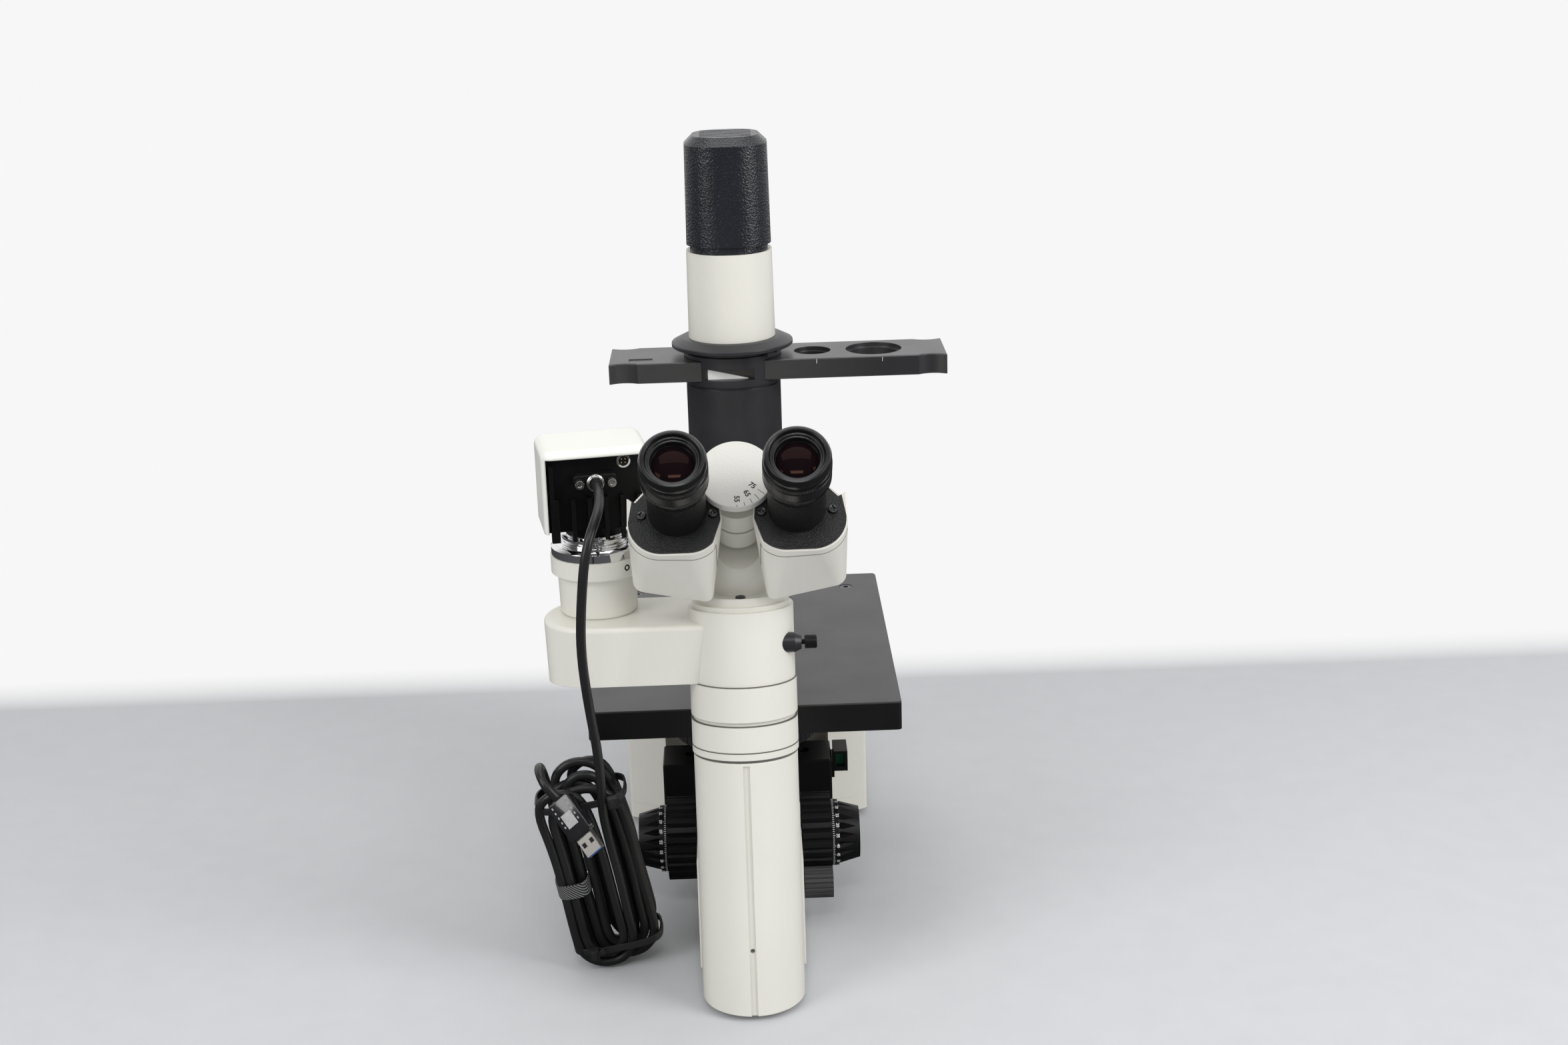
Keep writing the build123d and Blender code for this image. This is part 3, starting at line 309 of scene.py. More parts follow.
def turned(name, light, dark, gloss, lines, axis_stretch):
    """Metal off a lathe: fine lines around the axis that change its tone and gloss a little."""
    material, wire = new_material(name)
    cut = noise(wire, scale=lines, detail=2.0, stretch=axis_stretch)
    hand = noise(wire, scale=30.0, detail=4.0)
    return shaded(
        material,
        wire,
        cut.between((*light, 1), (*dark, 1)),
        gloss + 0.14 * cut + 0.08 * hand,
        (cut, 0.00001),
        metallic=1.0,
    )


along_z = (0.03, 0.03, 1.0)
along_x = (1.0, 0.03, 0.03)
any_way = (1, 1, 1)
insert_metal = turned(
    "insert_metal",
    light=(0.72, 0.72, 0.73),
    dark=(0.6, 0.6, 0.61),
    gloss=0.2,
    lines=1500.0,
    axis_stretch=along_z,
)
dress(insert_metal, "stage_insert")
screw_steel = turned(
    "screw_steel",
    light=(0.22, 0.22, 0.23),
    dark=(0.12, 0.12, 0.125),
    gloss=0.3,
    lines=2500.0,
    axis_stretch=along_z,
)
dress(screw_steel, "stage_screws")

# Lamp: a drawn steel house in black hammer paint with cooling slots, over the cream tube, and the
# bulb in its holder inside.
hammer_black = painted(
    "hammer_black",
    light=(0.010, 0.011, 0.016),
    dark=(0.015, 0.016, 0.022),
    grain_scale=760.0,
    grain_depth=0.0005,
    gloss=0.20,
    shine=0.7,
)
dress(hammer_black, "lamp_house")
bulb_glass, wire = new_material("bulb_glass")
bloom = noise(wire, scale=160.0)
shaded(
    bulb_glass,
    wire,
    bloom.between((0.9, 0.9, 0.88, 1), (0.8, 0.81, 0.8, 1)),
    0.08 + 0.1 * bloom,
)
dress(bulb_glass, "lamp_bulb")

# Condenser and diaphragm: turned aluminium, anodised satin black, one ring screwed on another. The
# lenses are bloomed glass, and show a purple or amber tint.
anodised, wire = new_material("anodised_black")
lathe_line = noise(wire, scale=1800.0, detail=2.0, stretch=along_z)
smudge = noise(wire, scale=35.0, detail=5.0)
shaded(
    anodised,
    wire,
    smudge.ramp(0.3, 0.8).between((0.018, 0.018, 0.021, 1), (0.026, 0.026, 0.030, 1)),
    0.26 + 0.12 * lathe_line + 0.1 * smudge,
    (lathe_line, 0.00001),
)
dress(
    anodised,
    "condenser_tube",
    "slider_housing",
    "aperture_lever",
    "nosepiece",
    "beam_bush",
)

coated_glass, wire = new_material("coated_glass")
sheen = noise(wire, scale=60.0)
shaded(
    coated_glass,
    wire,
    sheen.between((0.10, 0.09, 0.16, 1), (0.16, 0.10, 0.12, 1)),
    0.03 + 0.03 * sheen,
    coat_weight=1.0,
    coat_roughness=0.02,
)
dress(coated_glass, "condenser_lens", "tube_lens", "splitter_prism")

# Phase slider, filter box and knobs: black moulded plastic with a fine spark-eroded grain, a little
# polished by fingers. The focus knobs are pressed on ground steel shafts, and green glass is set in
# the window of the filter slider.
moulded_black = painted(
    "moulded_black",
    light=(0.005, 0.005, 0.0055),
    dark=(0.008, 0.008, 0.009),
    grain_scale=2600.0,
    grain_depth=0.00004,
    gloss=0.34,
    shine=0.25,
)
dress(
    moulded_black,
    "filter_housing",
    "filter_slider",
    "coarse_knob_right",
    "coarse_knob_left",
    "fine_knob_right",
    "fine_knob_left",
    "beam_rod",
    "focus_carrier",
    "power_inlet",
)
# The phase slider gets a lighter copy of the moulded black: painted light from the lamps above.
slider_lit_black = painted(
    "slider_lit_black",
    light=(0.018, 0.018, 0.020),
    dark=(0.025, 0.025, 0.027),
    grain_scale=2600.0,
    grain_depth=0.00005,
    gloss=0.24,
    shine=1.0,
)
dress(slider_lit_black, "phase_slider")
knob_grey = painted(
    "knob_grey",
    light=(0.035, 0.035, 0.037),
    dark=(0.045, 0.045, 0.047),
    grain_scale=2200.0,
    grain_depth=0.00005,
    gloss=0.42,
)
dress(knob_grey, "brightness_knob")
green_glass, wire = new_material("green_glass")
depth_tone = noise(wire, scale=90.0)
shaded(
    green_glass,
    wire,
    depth_tone.between((0.01, 0.11, 0.05, 1), (0.015, 0.16, 0.075, 1)),
    0.05 + 0.04 * depth_tone,
    coat_weight=0.6,
)
dress(green_glass, "filter_glass")
shaft_steel = turned(
    "shaft_steel",
    light=(0.6, 0.6, 0.61),
    dark=(0.48, 0.48, 0.49),
    gloss=0.24,
    lines=1600.0,
    axis_stretch=along_x,
)
dress(shaft_steel, "coarse_shaft", "fine_shaft")

# Objectives: three turned brass barrels, nickel plated, with fine lines round them from the lathe.
# They are screwed into the nosepiece and point up at the stage's opening.
nickel = turned(
    "nickel",
    light=(0.70, 0.69, 0.66),
    dark=(0.58, 0.57, 0.55),
    gloss=0.16,
    lines=1400.0,
    axis_stretch=along_z,
)
dress(nickel, "objective_1", "objective_2", "objective_3")

# Mirrors and power supply: silvered glass prisms cemented in the light channel, and a green circuit
# board with its transformer and heat sink, screwed down on the tray of the rear box.
silvered, wire = new_material("silvered")
tarnish = noise(wire, scale=50.0)
shaded(
    silvered,
    wire,
    tarnish.between((0.88, 0.88, 0.89, 1), (0.82, 0.82, 0.82, 1)),
    0.03 + 0.04 * tarnish,
    metallic=1.0,
)
dress(silvered, "mirrors")
board_green = painted(
    "board_green",
    light=(0.02, 0.10, 0.05),
    dark=(0.03, 0.13, 0.06),
    grain_scale=900.0,
    grain_depth=0.0001,
    gloss=0.4,
)
dress(board_green, "power_supply")

# Camera: a cream plastic cover with well rounded edges, snapped over a black casting with cooling
# fins. A polished steel socket is set into the casting beside the cord.
cover_plastic = painted(
    "cover_plastic",
    light=(0.84, 0.84, 0.79),
    dark=(0.82, 0.82, 0.77),
    grain_scale=1500.0,
    grain_depth=0.00002,
    gloss=0.24,
    shine=0.5,
    edge=1.6,
)
dress(cover_plastic, "camera_cover")
fin_black = painted(
    "fin_black",
    light=(0.003, 0.003, 0.0035),
    dark=(0.006, 0.006, 0.0065),
    grain_scale=1500.0,
    grain_depth=0.00003,
    gloss=0.34,
    shine=0.25,
)
dress(fin_black, "camera_body")
polished, wire = new_material("polished")
handled = noise(wire, scale=40.0, detail=4.0)
shaded(
    polished,
    wire,
    handled.between((0.88, 0.88, 0.89, 1), (0.83, 0.83, 0.84, 1)),
    0.03 + 0.05 * handled,
    metallic=1.0,
    edge=0.2,
)
dress(polished, "camera_socket")

# Eyepiece tubes: black plates with a rough wrinkle finish, held by two cross-head screws each, and
# smooth black tubes standing on them. The screws are pan heads in black oxide.
wrinkle_black = painted(
    "wrinkle_black",
    light=(0.005, 0.005, 0.0055),
    dark=(0.009, 0.009, 0.010),
    grain_scale=1100.0,
    grain_depth=0.0008,
    gloss=0.28,
    shine=0.45,
)
joints = {joint["name"]: joint for joint in frame["joints"]}
head_middle = Vector(joints["right_eye_swing"]["pos_m"])
head_out = Vector(joints["right_eye_swing"]["axis"])
head_up = head_out.cross(Vector((1, 0, 0)))
head_turn = Matrix(((1, 0, 0), head_up, head_out)).transposed()


def on_head(across, up, out):
    """A placing on the tilted head, in millimetres from the middle of its hinge."""
    place = head_middle + head_turn @ Vector((across, up, out)) / 1000
    return Matrix.LocRotScale(place, head_turn, None)


def lathe(name, profile, steps=96, knurled=(), knurl_depth=0.4, bored=False):
    """A mesh spun about Z from radii and heights in millimetres. Every other step of a knurled row
    is cut in. A bored one is a ring whose last row joins its first."""
    made = bmesh.new()
    rings = []
    for row, (radius, height) in enumerate(profile):
        ring = []
        for step in range(steps):
            angle = 2 * pi * step / steps
            reach = radius - (knurl_depth if row in knurled and step % 2 else 0)
            place = Vector((reach * cos(angle), reach * sin(angle), height)) / 1000
            ring.append(made.verts.new(place))
        rings.append(ring)
    for lower, upper in zip(rings, rings[1:] + rings[:1] if bored else rings[1:]):
        for step in range(steps):
            after = (step + 1) % steps
            made.faces.new((lower[step], lower[after], upper[after], upper[step]))
    if not bored:
        made.faces.new(reversed(rings[0]))
        made.faces.new(rings[-1])
    for face in made.faces:
        face.smooth = True
    return as_mesh(name, made)


def as_mesh(name, made):
    """A mesh of what a bmesh holds, with its sharper edges kept sharp."""
    mesh = bpy.data.meshes.new(name)
    made.to_mesh(mesh)
    made.free()
    mesh.set_sharp_from_angle(angle=radians(28))
    return mesh


def block(made, size, place):
    """Adds a box of a size in millimetres to a bmesh."""
    scale = Matrix.Diagonal((size[0] / 1000, size[1] / 1000, size[2] / 1000, 1))
    bmesh.ops.create_cube(made, size=1.0, matrix=place @ scale)


def fixed(name, mesh, place, body, material):
    """A piece of a mesh and a finish, set at a place and riding on a body."""
    mesh.materials.clear()
    mesh.materials.append(material)
    made = bpy.data.objects.new(name, mesh)
    bpy.context.scene.collection.objects.link(made)
    made.matrix_world = place
    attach(made, body)
    return made


def settled(holder):
    """The mesh of an object with its modifiers, after which the object is thrown away."""
    bpy.context.scene.collection.objects.link(holder)
    seen_by = bpy.context.evaluated_depsgraph_get()
    mesh = bpy.data.meshes.new_from_object(holder.evaluated_get(seen_by))
    bpy.data.objects.remove(holder)
    return mesh


def cross_screw(name, radius, height):
    """A domed screw head with a cross recess, standing on z = 0."""
    profile = [
        (radius, 0),
        (radius, 0.5 * height),
        (0.88 * radius, 0.85 * height),
        (0.55 * radius, height),
    ]
    recess = bmesh.new()
    for angle in (0, pi / 2):
        turn = Matrix.Translation((0, 0, height / 1000)) @ Matrix.Rotation(angle, 4, "Z")
        block(recess, (1.25 * radius, 0.28 * radius, 1.2 * height), turn)
    tool = bpy.data.objects.new("recess", as_mesh("recess", recess))
    bpy.context.scene.collection.objects.link(tool)
    head = bpy.data.objects.new(name, lathe(name, profile, 40))
    cut = head.modifiers.new("recess", "BOOLEAN")
    cut.object = tool
    cut.use_self = True
    mesh = settled(head)
    bpy.data.objects.remove(tool)
    return mesh


def rear_corner(mesh, side):
    """The outer rear corner of a plate that lies under z = 0, seen along Z."""

    def reach(vertex):
        return side * vertex.co.x + 0.8 * vertex.co.y - 9 * max(vertex.co.z, 0)

    return max(mesh.vertices, key=reach).co.to_2d()


hinge_place = on_head(0, 0, 0)
arms = ((1, "right"), (-1, "left"))
tip_size = 0.0006
tip_in, tip_down = 0.0022, 0.0026
for side, arm in arms:
    cad_tube = nodes[f"{arm}_tube"]
    tube_mesh = cad_tube.data.copy()
    tube_mesh.transform(hinge_place.inverted() @ cad_tube.matrix_world)
    tip = rear_corner(tube_mesh, side)
    for vertex in tube_mesh.vertices:
        if (vertex.co.to_2d() - tip).length < tip_size:
            vertex.co -= Vector((side * tip_in, tip_down, 0))
    name = f"{arm}_tube_plate"
    blunt = fixed(name, tube_mesh, hinge_place, f"{arm}_arm", wrinkle_black)
    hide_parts(f"{arm}_tube")
black_oxide = turned(
    "black_oxide",
    light=(0.10, 0.10, 0.102),
    dark=(0.06, 0.06, 0.061),
    gloss=0.2,
    lines=2500.0,
    axis_stretch=along_z,
)
plate_screw = cross_screw("plate_screw", radius=2.9, height=1.3)
eye_offset = 35.3
eye_drop = 20.0
screw_offset = 21.0
screw_drop = 22.5
for side, arm in arms:
    for end, outward in (("outer", 1), ("inner", -1)):
        place = on_head(side * (eye_offset + outward * screw_offset), -screw_drop, 0)
        name = f"plate_screw_{arm}_arm_{end}"
        fixed(name, plate_screw, place, f"{arm}_arm", black_oxide)

# Eyepieces: turned aluminium bodies, anodised black, that push into the tubes, with a knurled
# focusing ring, a fine knurl at the eye end and a deep-set coated lens.
eyepiece_profile = [
    (15.1, 4.5), (15.1, 30.4), (17.0, 30.4), (17.4, 33.4), (18.6, 35.4), (18.8, 35.8), (20.0, 37.8),
    (20.1, 41.2), (19.7, 41.6), (20.0, 42.0), (20.1, 49.6), (19.6, 50.0), (20.1, 50.5), (20.1, 54.0),
    (19.3, 54.6), (19.2, 55.4), (19.7, 57.2), (19.7, 59.2), (19.1, 61.2), (18.2, 62.2), (17.0, 62.5),
    (16.2, 62.2), (15.6, 61.0), (15.4, 60.0), (14.4, 59.8), (14.2, 58.6), (13.2, 58.4), (12.9, 56.4),
    (12.3, 55.2),
]
focus_ring_rows = (5, 6, 7, 12, 13)
lens_profile = [(12.3, 55.2), (10.5, 55.9), (8.0, 56.6), (5.0, 57.1), (2.0, 57.3), (0.4, 57.35)]
eyepiece_black, wire = new_material("eyepiece_black")
grip_shine = noise(wire, scale=45.0, detail=5.0)
shaded(
    eyepiece_black,
    wire,
    grip_shine.ramp(0.3, 0.8).between((0.005, 0.005, 0.0053, 1), (0.009, 0.009, 0.0095, 1)),
    0.2 + 0.16 * grip_shine,
    (noise(wire, scale=2600.0), 0.00002),
)
eye_lens, wire = new_material("eye_lens")
coating = noise(wire, scale=25.0)
shaded(
    eye_lens,
    wire,
    coating.between((0.004, 0.003, 0.004, 1), (0.010, 0.004, 0.005, 1)),
    0.03 + 0.03 * coating,
    specular_tint=(1.0, 0.5, 0.36, 1),
    specular_ior_level=0.08,
)
for side, arm in arms:
    seat = on_head(side * eye_offset, -eye_drop, 0)
    body = f"{arm}_ocular"
    name = f"{arm}_ocular_body"
    barrel = lathe(name, eyepiece_profile, 240, knurled=focus_ring_rows, knurl_depth=0.35)
    ocular = fixed(name, barrel, seat, body, eyepiece_black)
    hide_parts(f"{arm}_eyepiece")
    name = f"{arm}_eye_lens"
    fixed(name, lathe(name, lens_profile, 64), seat, body, eye_lens)

# Scale disc on the hinge: a cream-painted cap over the post that turns with the left tube, with
# plain figures and lines for the distance between the eyes.
disc_paint = painted(
    "disc_paint",
    light=(0.70, 0.69, 0.65),
    dark=(0.66, 0.65, 0.61),
    grain_scale=700.0,
    grain_depth=0.00022,
    gloss=0.44,
)
dress(disc_paint, "hinge_disc")


def write(made, text, size, place):
    """Adds plain figures of a size in millimetres to a bmesh, flat on the place's XY plane."""
    figures = bpy.data.curves.new("figures", "FONT")
    figures.body = text
    figures.size = size / 1000
    figures.extrude = 0.00003
    figures.offset = 0.03 * size / 1000
    figures.resolution_u = 3
    figures.align_x = "CENTER"
    figures.align_y = "CENTER"
    mesh = settled(bpy.data.objects.new("figures", figures))
    mesh.transform(place)
    made.from_mesh(mesh)
    bpy.data.meshes.remove(mesh)


dark_ink = painted(
    "dark_ink",
    light=(0.006, 0.006, 0.006),
    dark=(0.01, 0.01, 0.01),
    grain_scale=3000.0,
    grain_depth=0.00001,
    gloss=0.5,
)
disc_top = 6.3
scale_radius = 22.0
scale_sweep = radians(49.5)
scale_line, scale_ink = 0.36, 0.06
figure_size = 4.4
figure_gap = 4.0
scale_marks = bmesh.new()
for step, figure in enumerate(("55", "", "65", "", "75")):
    aside = scale_sweep * step / 4 - pi / 2
    ray = Matrix.Translation((0, 0, disc_top / 1000)) @ Matrix.Rotation(aside, 4, "Z")
    line_length = 1.2 + 1.1 * step
    line_middle = Matrix.Translation(((scale_radius - line_length / 2) / 1000, 0, 0))
    block(scale_marks, (line_length, scale_line, scale_ink), ray @ line_middle)
    if figure:
        figure_radius = scale_radius - line_length - figure_gap
        figure_middle = Matrix.Translation((figure_radius / 1000, 0, 0))
        write(scale_marks, figure, figure_size, ray @ figure_middle)
disc_scale = as_mesh("disc_scale", scale_marks)
fixed("disc_scale", disc_scale, hinge_place, "left_arm", dark_ink)

# Focus dials: plain white figures and lines, a hundred to the turn, printed round the rim of both
# fine knobs. They turn with the fine drive.
white_ink = painted(
    "white_ink",
    light=(0.95, 0.95, 0.93),
    dark=(0.88, 0.88, 0.86),
    grain_scale=3000.0,
    grain_depth=0.00001,
    gloss=0.5,
)
dial_radius = 22.7
dial_inner = 56.8
dial_line, dial_ink = 0.42, 0.08
dial_figure = 2.9
knob_middle = Vector(joints["fine_turn"]["pos_m"])


def dial(name, front_value):
    """Lines and figures round the knob's axis, Z, with the value at the front along X."""
    made = bmesh.new()
    for unit in range(100):
        turn = Matrix.Rotation(2 * pi * (unit - front_value) / 100, 4, "Z")
        outward = turn @ Matrix.Translation((dial_radius / 1000, 0, dial_inner / 1000))
        named = unit % 5 == 0
        line_length = 1.7 if named else 1.2
        line_middle = Matrix.Translation((0, 0, line_length / 2000))
        block(made, (dial_ink, dial_line, line_length), outward @ line_middle)
        if named:
            upright = Matrix(((0, 0, 1, 0), (1, 0, 0, 0), (0, 1, 0, 0), (0, 0, 0, 1)))
            figure_middle = Matrix.Translation((0.00003, 0, 0.0034))
            write(made, str(unit), dial_figure, outward @ figure_middle @ upright)
    return as_mesh(name, made)


for side, name, front_value in ((1, "dial_right", 40), (-1, "dial_left", 50)):
    facing = Matrix(((0, -1, 0), (0, 0, -side), (side, 0, 0))).transposed()
    place = Matrix.LocRotScale(knob_middle, facing, None)
    fixed(name, dial(name, front_value), place, "fine_drive", white_ink)

# Flange screw and set screw: a cross-head screw in black oxide that holds the head down, and the
# black grub screw in the collar of the port tube.
def touch(name, start, way):
    """A placing where a ray first meets a CAD node, with Z along the surface's normal."""
    node = nodes[name]
    back = node.matrix_world.inverted()
    _, place, normal, _ = node.ray_cast(back @ start, (back.to_3x3() @ way).normalized())
    return Matrix.LocRotScale(node.matrix_world @ place, normal.to_track_quat("Z", "Y"), None)


bpy.context.view_layer.update()
flange_spot = touch("head_base", spot(0, -196, 300), Vector((0, 0, -1)))
flange_screw = cross_screw("flange_screw", radius=3.2, height=1.5)
fixed("flange_screw", flange_screw, flange_spot, "stand", black_oxide)
port_x, port_y = -88.5, -158.0
collar_way = Vector((-0.69, 0.724, 0))
collar_spot = touch("port_tube", spot(port_x, port_y, 281.5) - 0.05 * collar_way, collar_way)
grub_screw = lathe("grub_screw", [(2.0, -0.5), (2.0, 0.1), (1.1, 0.1), (1.0, -0.3)], 32)
fixed("grub_screw", grub_screw, collar_spot, "stand", moulded_black)

# Column seams: the dark gaps where column, ring, spacer and photo tube meet, bare metal in shadow.
# They lean back with the column.
seam_black = painted(
    "seam_black",
    light=(0.11, 0.106, 0.093),
    dark=(0.15, 0.143, 0.127),
    grain_scale=900.0,
    grain_depth=0.00001,
    gloss=0.6,
)
column_lean = Matrix.Rotation(radians(-7.5), 3, "X")
column_foot = Matrix.LocRotScale(spot(0, -207.2, 4), column_lean, None)
column_gaps = (
    (159.0, 160.2, 32.6),
    (164.6, 165.0, 33.26),
    (181.3, 181.9, 33.26),
    (206.0, 206.5, 33.26),
)
for number, (low, high, radius) in enumerate(column_gaps):
    seam = lathe(f"column_seam_{number}", [(radius, low), (radius, high)], 128)
    fixed(f"column_seam_{number}", seam, column_foot, "stand", seam_black)

# Housing seams: the fine gap round the front panel of each tube housing, under the rim and down the
# inner edge, where two painted castings meet without filler.
# The gap's shade is painted: a thin dark tube laid along the gap.
seam_shade = painted(
    "seam_shade",
    light=(0.20, 0.195, 0.17),
    dark=(0.26, 0.25, 0.22),
    grain_scale=900.0,
    grain_depth=0.00001,
    gloss=0.6,
)
seam_radius = 0.0003
seam_depth = -9.0
inner_edge = -140
clear_of_housing = 0.06
seam_path = [(angle, seam_depth) for angle in range(-20, inner_edge - 1, -5)]
seam_path += [(inner_edge, seam_depth - 3.0 * step) for step in range(1, 15)]
for side, arm in arms:
    seam_line = bpy.data.curves.new("seam", "CURVE")
    seam_line.dimensions = "3D"
    seam_line.bevel_depth = seam_radius
    run = seam_line.splines.new("POLY")
    run.points.add(len(seam_path) - 1)
    for point, (angle, depth) in zip(run.points, seam_path):
        aim = head_turn @ Vector((side * cos(radians(angle)), sin(radians(angle)), 0))
        axis_point = on_head(side * eye_offset, -eye_drop, depth).translation
        met = touch(f"{arm}_housing", axis_point + clear_of_housing * aim, -aim)
        point.co = (*met.translation, 1)
    seam = settled(bpy.data.objects.new("seam", seam_line))
    fixed(f"{arm}_seam", seam, Matrix.Identity(4), f"{arm}_arm", seam_shade)

# Slider marks: the white wedge behind the housing's window and two short lines, printed on the front
# edge of the phase slider.
slider_marks = bmesh.new()
slider_front = spot(0, -25.06, 0)
wedge = [(-17, 361.4), (10, 361.4), (10, 362.2), (-17, 368.6)]
mark_lines = (56, 100)
wedge_points = [slider_front + Vector((x, 0, z)) / 1000 for x, z in wedge]
slider_marks.faces.new([slider_marks.verts.new(point) for point in wedge_points])
for x in mark_lines:
    line_middle = slider_front + Vector((x, 0, 372)) / 1000
    block(slider_marks, (0.25, 0.1, 3.0), Matrix.Translation(line_middle))
marks_mesh = as_mesh("slider_marks", slider_marks)
fixed("slider_marks", marks_mesh, Matrix.Identity(4), "phase_bar", white_ink)

# Diaphragm ring: a turned conical flange with an upright rim, on a sleeve that the lever turns round.
# It is anodised like the condenser and clamped between slider housing and lamp tube.
diaphragm_profile = [
    (18.0, 0.0), (27.9, 0.0), (27.9, 3.4), (40.6, 3.4), (41.0, 3.8), (41.0, 5.7), (40.7, 6.15),
    (34.4, 9.3), (33.8, 9.5), (18.0, 9.5),
]
diaphragm_mesh = lathe("diaphragm_flange", diaphragm_profile, 160, bored=True)
diaphragm_seat = Matrix.Translation(spot(0, 0, 377))
diaphragm = fixed(
    "diaphragm_flange", diaphragm_mesh, diaphragm_seat, "stand", anodised
)
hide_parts("diaphragm_ring")

# Port adapter: one ring of steel, turned in steps and polished bright, screwed into the port tube
# under the camera.
adapter_profile = [
    (12.8, 0.0), (27.7, 0.0), (27.9, 0.3), (27.9, 5.3), (27.7, 5.6), (26.2, 7.2), (25.9, 7.4),
    (21.3, 7.4), (21.0, 7.6), (21.0, 8.8), (20.8, 9.0), (19.8, 9.0), (19.6, 9.2), (19.6, 10.4),
    (19.8, 10.6), (20.8, 10.6), (21.0, 10.8), (21.0, 12.0), (20.8, 12.2), (18.7, 12.2),
    (18.5, 12.4), (18.5, 13.8), (18.3, 14.0), (12.8, 14.0),
]
adapter_mesh = lathe("adapter_ring", adapter_profile, 160, bored=True)
adapter_seat = Matrix.Translation(spot(port_x, port_y, 286.5))
adapter = fixed("adapter_ring", adapter_mesh, adapter_seat, "stand", polished)
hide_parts("port_adapter")

# Cord connector and camera socket: a black moulded shell held by two knurled steel thumbscrews, with
# a steel gland ring and a short strain relief; beside it a round socket with four gilt pins.
def slab(name, length, width, thick, corner, middle):
    """A block with rounded upright corners and softened rims, in millimetres."""
    made = bmesh.new()
    block(made, (length, width, thick), Matrix.Translation(Vector(middle) / 1000))

    def rise(edge):
        return abs(edge.verts[0].co.z - edge.verts[1].co.z)

    level = 0.0001
    rounding = {"affect": "EDGES", "profile": 0.5}
    upright = [edge for edge in made.edges if rise(edge) > level]
    bmesh.ops.bevel(made, geom=upright, offset=corner / 1000, segments=5, **rounding)
    rims = [edge for edge in made.edges if rise(edge) < level]
    bmesh.ops.bevel(made, geom=rims, offset=0.0008, segments=3, **rounding)
    return as_mesh(name, made)


camera_turn = Matrix.Rotation(radians(10), 4, "Z")
camera_place = Matrix.Translation(spot(port_x, port_y, 0)) @ camera_turn
camera_front = -0.0202
facing_out = Matrix.Rotation(pi / 2, 4, "X")
connector_place = camera_place @ Matrix.Translation((-0.0015, camera_front, 0.339)) @ facing_out
connector_mesh = slab(
    "connector_shell", length=26, width=9, thick=9, corner=2, middle=(0, 0, 4.5)
)
connector = fixed(
    "connector_shell", connector_mesh, connector_place, "stand", moulded_black
)
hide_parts("cord_connector")
thumb_profile = [
    (2.1, 8.8), (2.1, 9.6), (2.7, 9.7), (2.8, 10.0), (2.8, 13.4), (2.6, 13.8), (1.3, 13.8),
    (1.2, 13.2),
]
gland_profile = [
    (5.0, 8.8), (5.4, 9.2), (5.4, 11.2), (5.0, 11.6), (4.6, 11.8), (4.6, 12.6), (4.2, 13.0),
]
relief_profile = [(4.1, 12.8), (3.9, 15.4), (3.5, 18.0), (3.1, 18.4)]
thumb_steel = turned(
    "thumb_steel",
    light=(0.55, 0.54, 0.52),
    dark=(0.42, 0.41, 0.40),
    gloss=0.16,
    lines=1500.0,
    axis_stretch=any_way,
)
grip_rows = (3, 4)
thumb_offset = 0.0098
for side in (-1, 1):
    thumb_mesh = lathe(f"thumbscrew_{side}", thumb_profile, 48, grip_rows, knurl_depth=0.3)
    thumb_place = connector_place @ Matrix.Translation((thumb_offset * side, 0, 0))
    fixed(f"thumbscrew_{side}", thumb_mesh, thumb_place, "stand", thumb_steel)
gland_mesh = lathe("gland_ring", gland_profile, 64)
fixed("gland_ring", gland_mesh, connector_place, "stand", thumb_steel)
relief_mesh = lathe("strain_relief", relief_profile, 48)
fixed("strain_relief", relief_mesh, connector_place, "stand", moulded_black)
socket_place = camera_place @ Matrix.Translation((0.017, camera_front, 0.349)) @ facing_out
socket_dark = lathe("socket_face", [(3.05, 0.8), (3.05, 1.3), (2.9, 1.4)], 48)
fixed("socket_face", socket_dark, socket_place, "stand", moulded_black)
gilt = turned(
    "gilt",
    light=(0.85, 0.62, 0.28),
    dark=(0.75, 0.52, 0.22),
    gloss=0.2,
    lines=1500.0,
    axis_stretch=along_z,
)
pin_size = (0.7, 0.7, 0.6)
pin_middle = Matrix.Translation((0.0016, 0, 0.0016))
pins = bmesh.new()
for quarter in range(4):
    pin_turn = Matrix.Rotation(pi / 4 + quarter * pi / 2, 4, "Z")
    block(pins, pin_size, pin_turn @ pin_middle)
fixed("socket_pins", as_mesh("socket_pins", pins), socket_place, "stand", gilt)

# Data cord: black sheathed cable out of the camera's connector, down in front of the port, and into
# a hanging hank of loose turns that fan out above the upper tie; its end comes forward to the plug.
hank_across = Vector((0.986, 0, 0.168))
hank_front = Vector((0.0202, -0.9927, -0.1183))
hank_along = hank_front.cross(hank_across)
hank_middle = Vector((-97.5, -157, 74.6))


def in_hank(across, along, front):
    """A point in the hank's own directions, in millimetres, as a point from the optical axis."""
    return hank_middle + across * hank_across + along * hank_along + front * hank_front


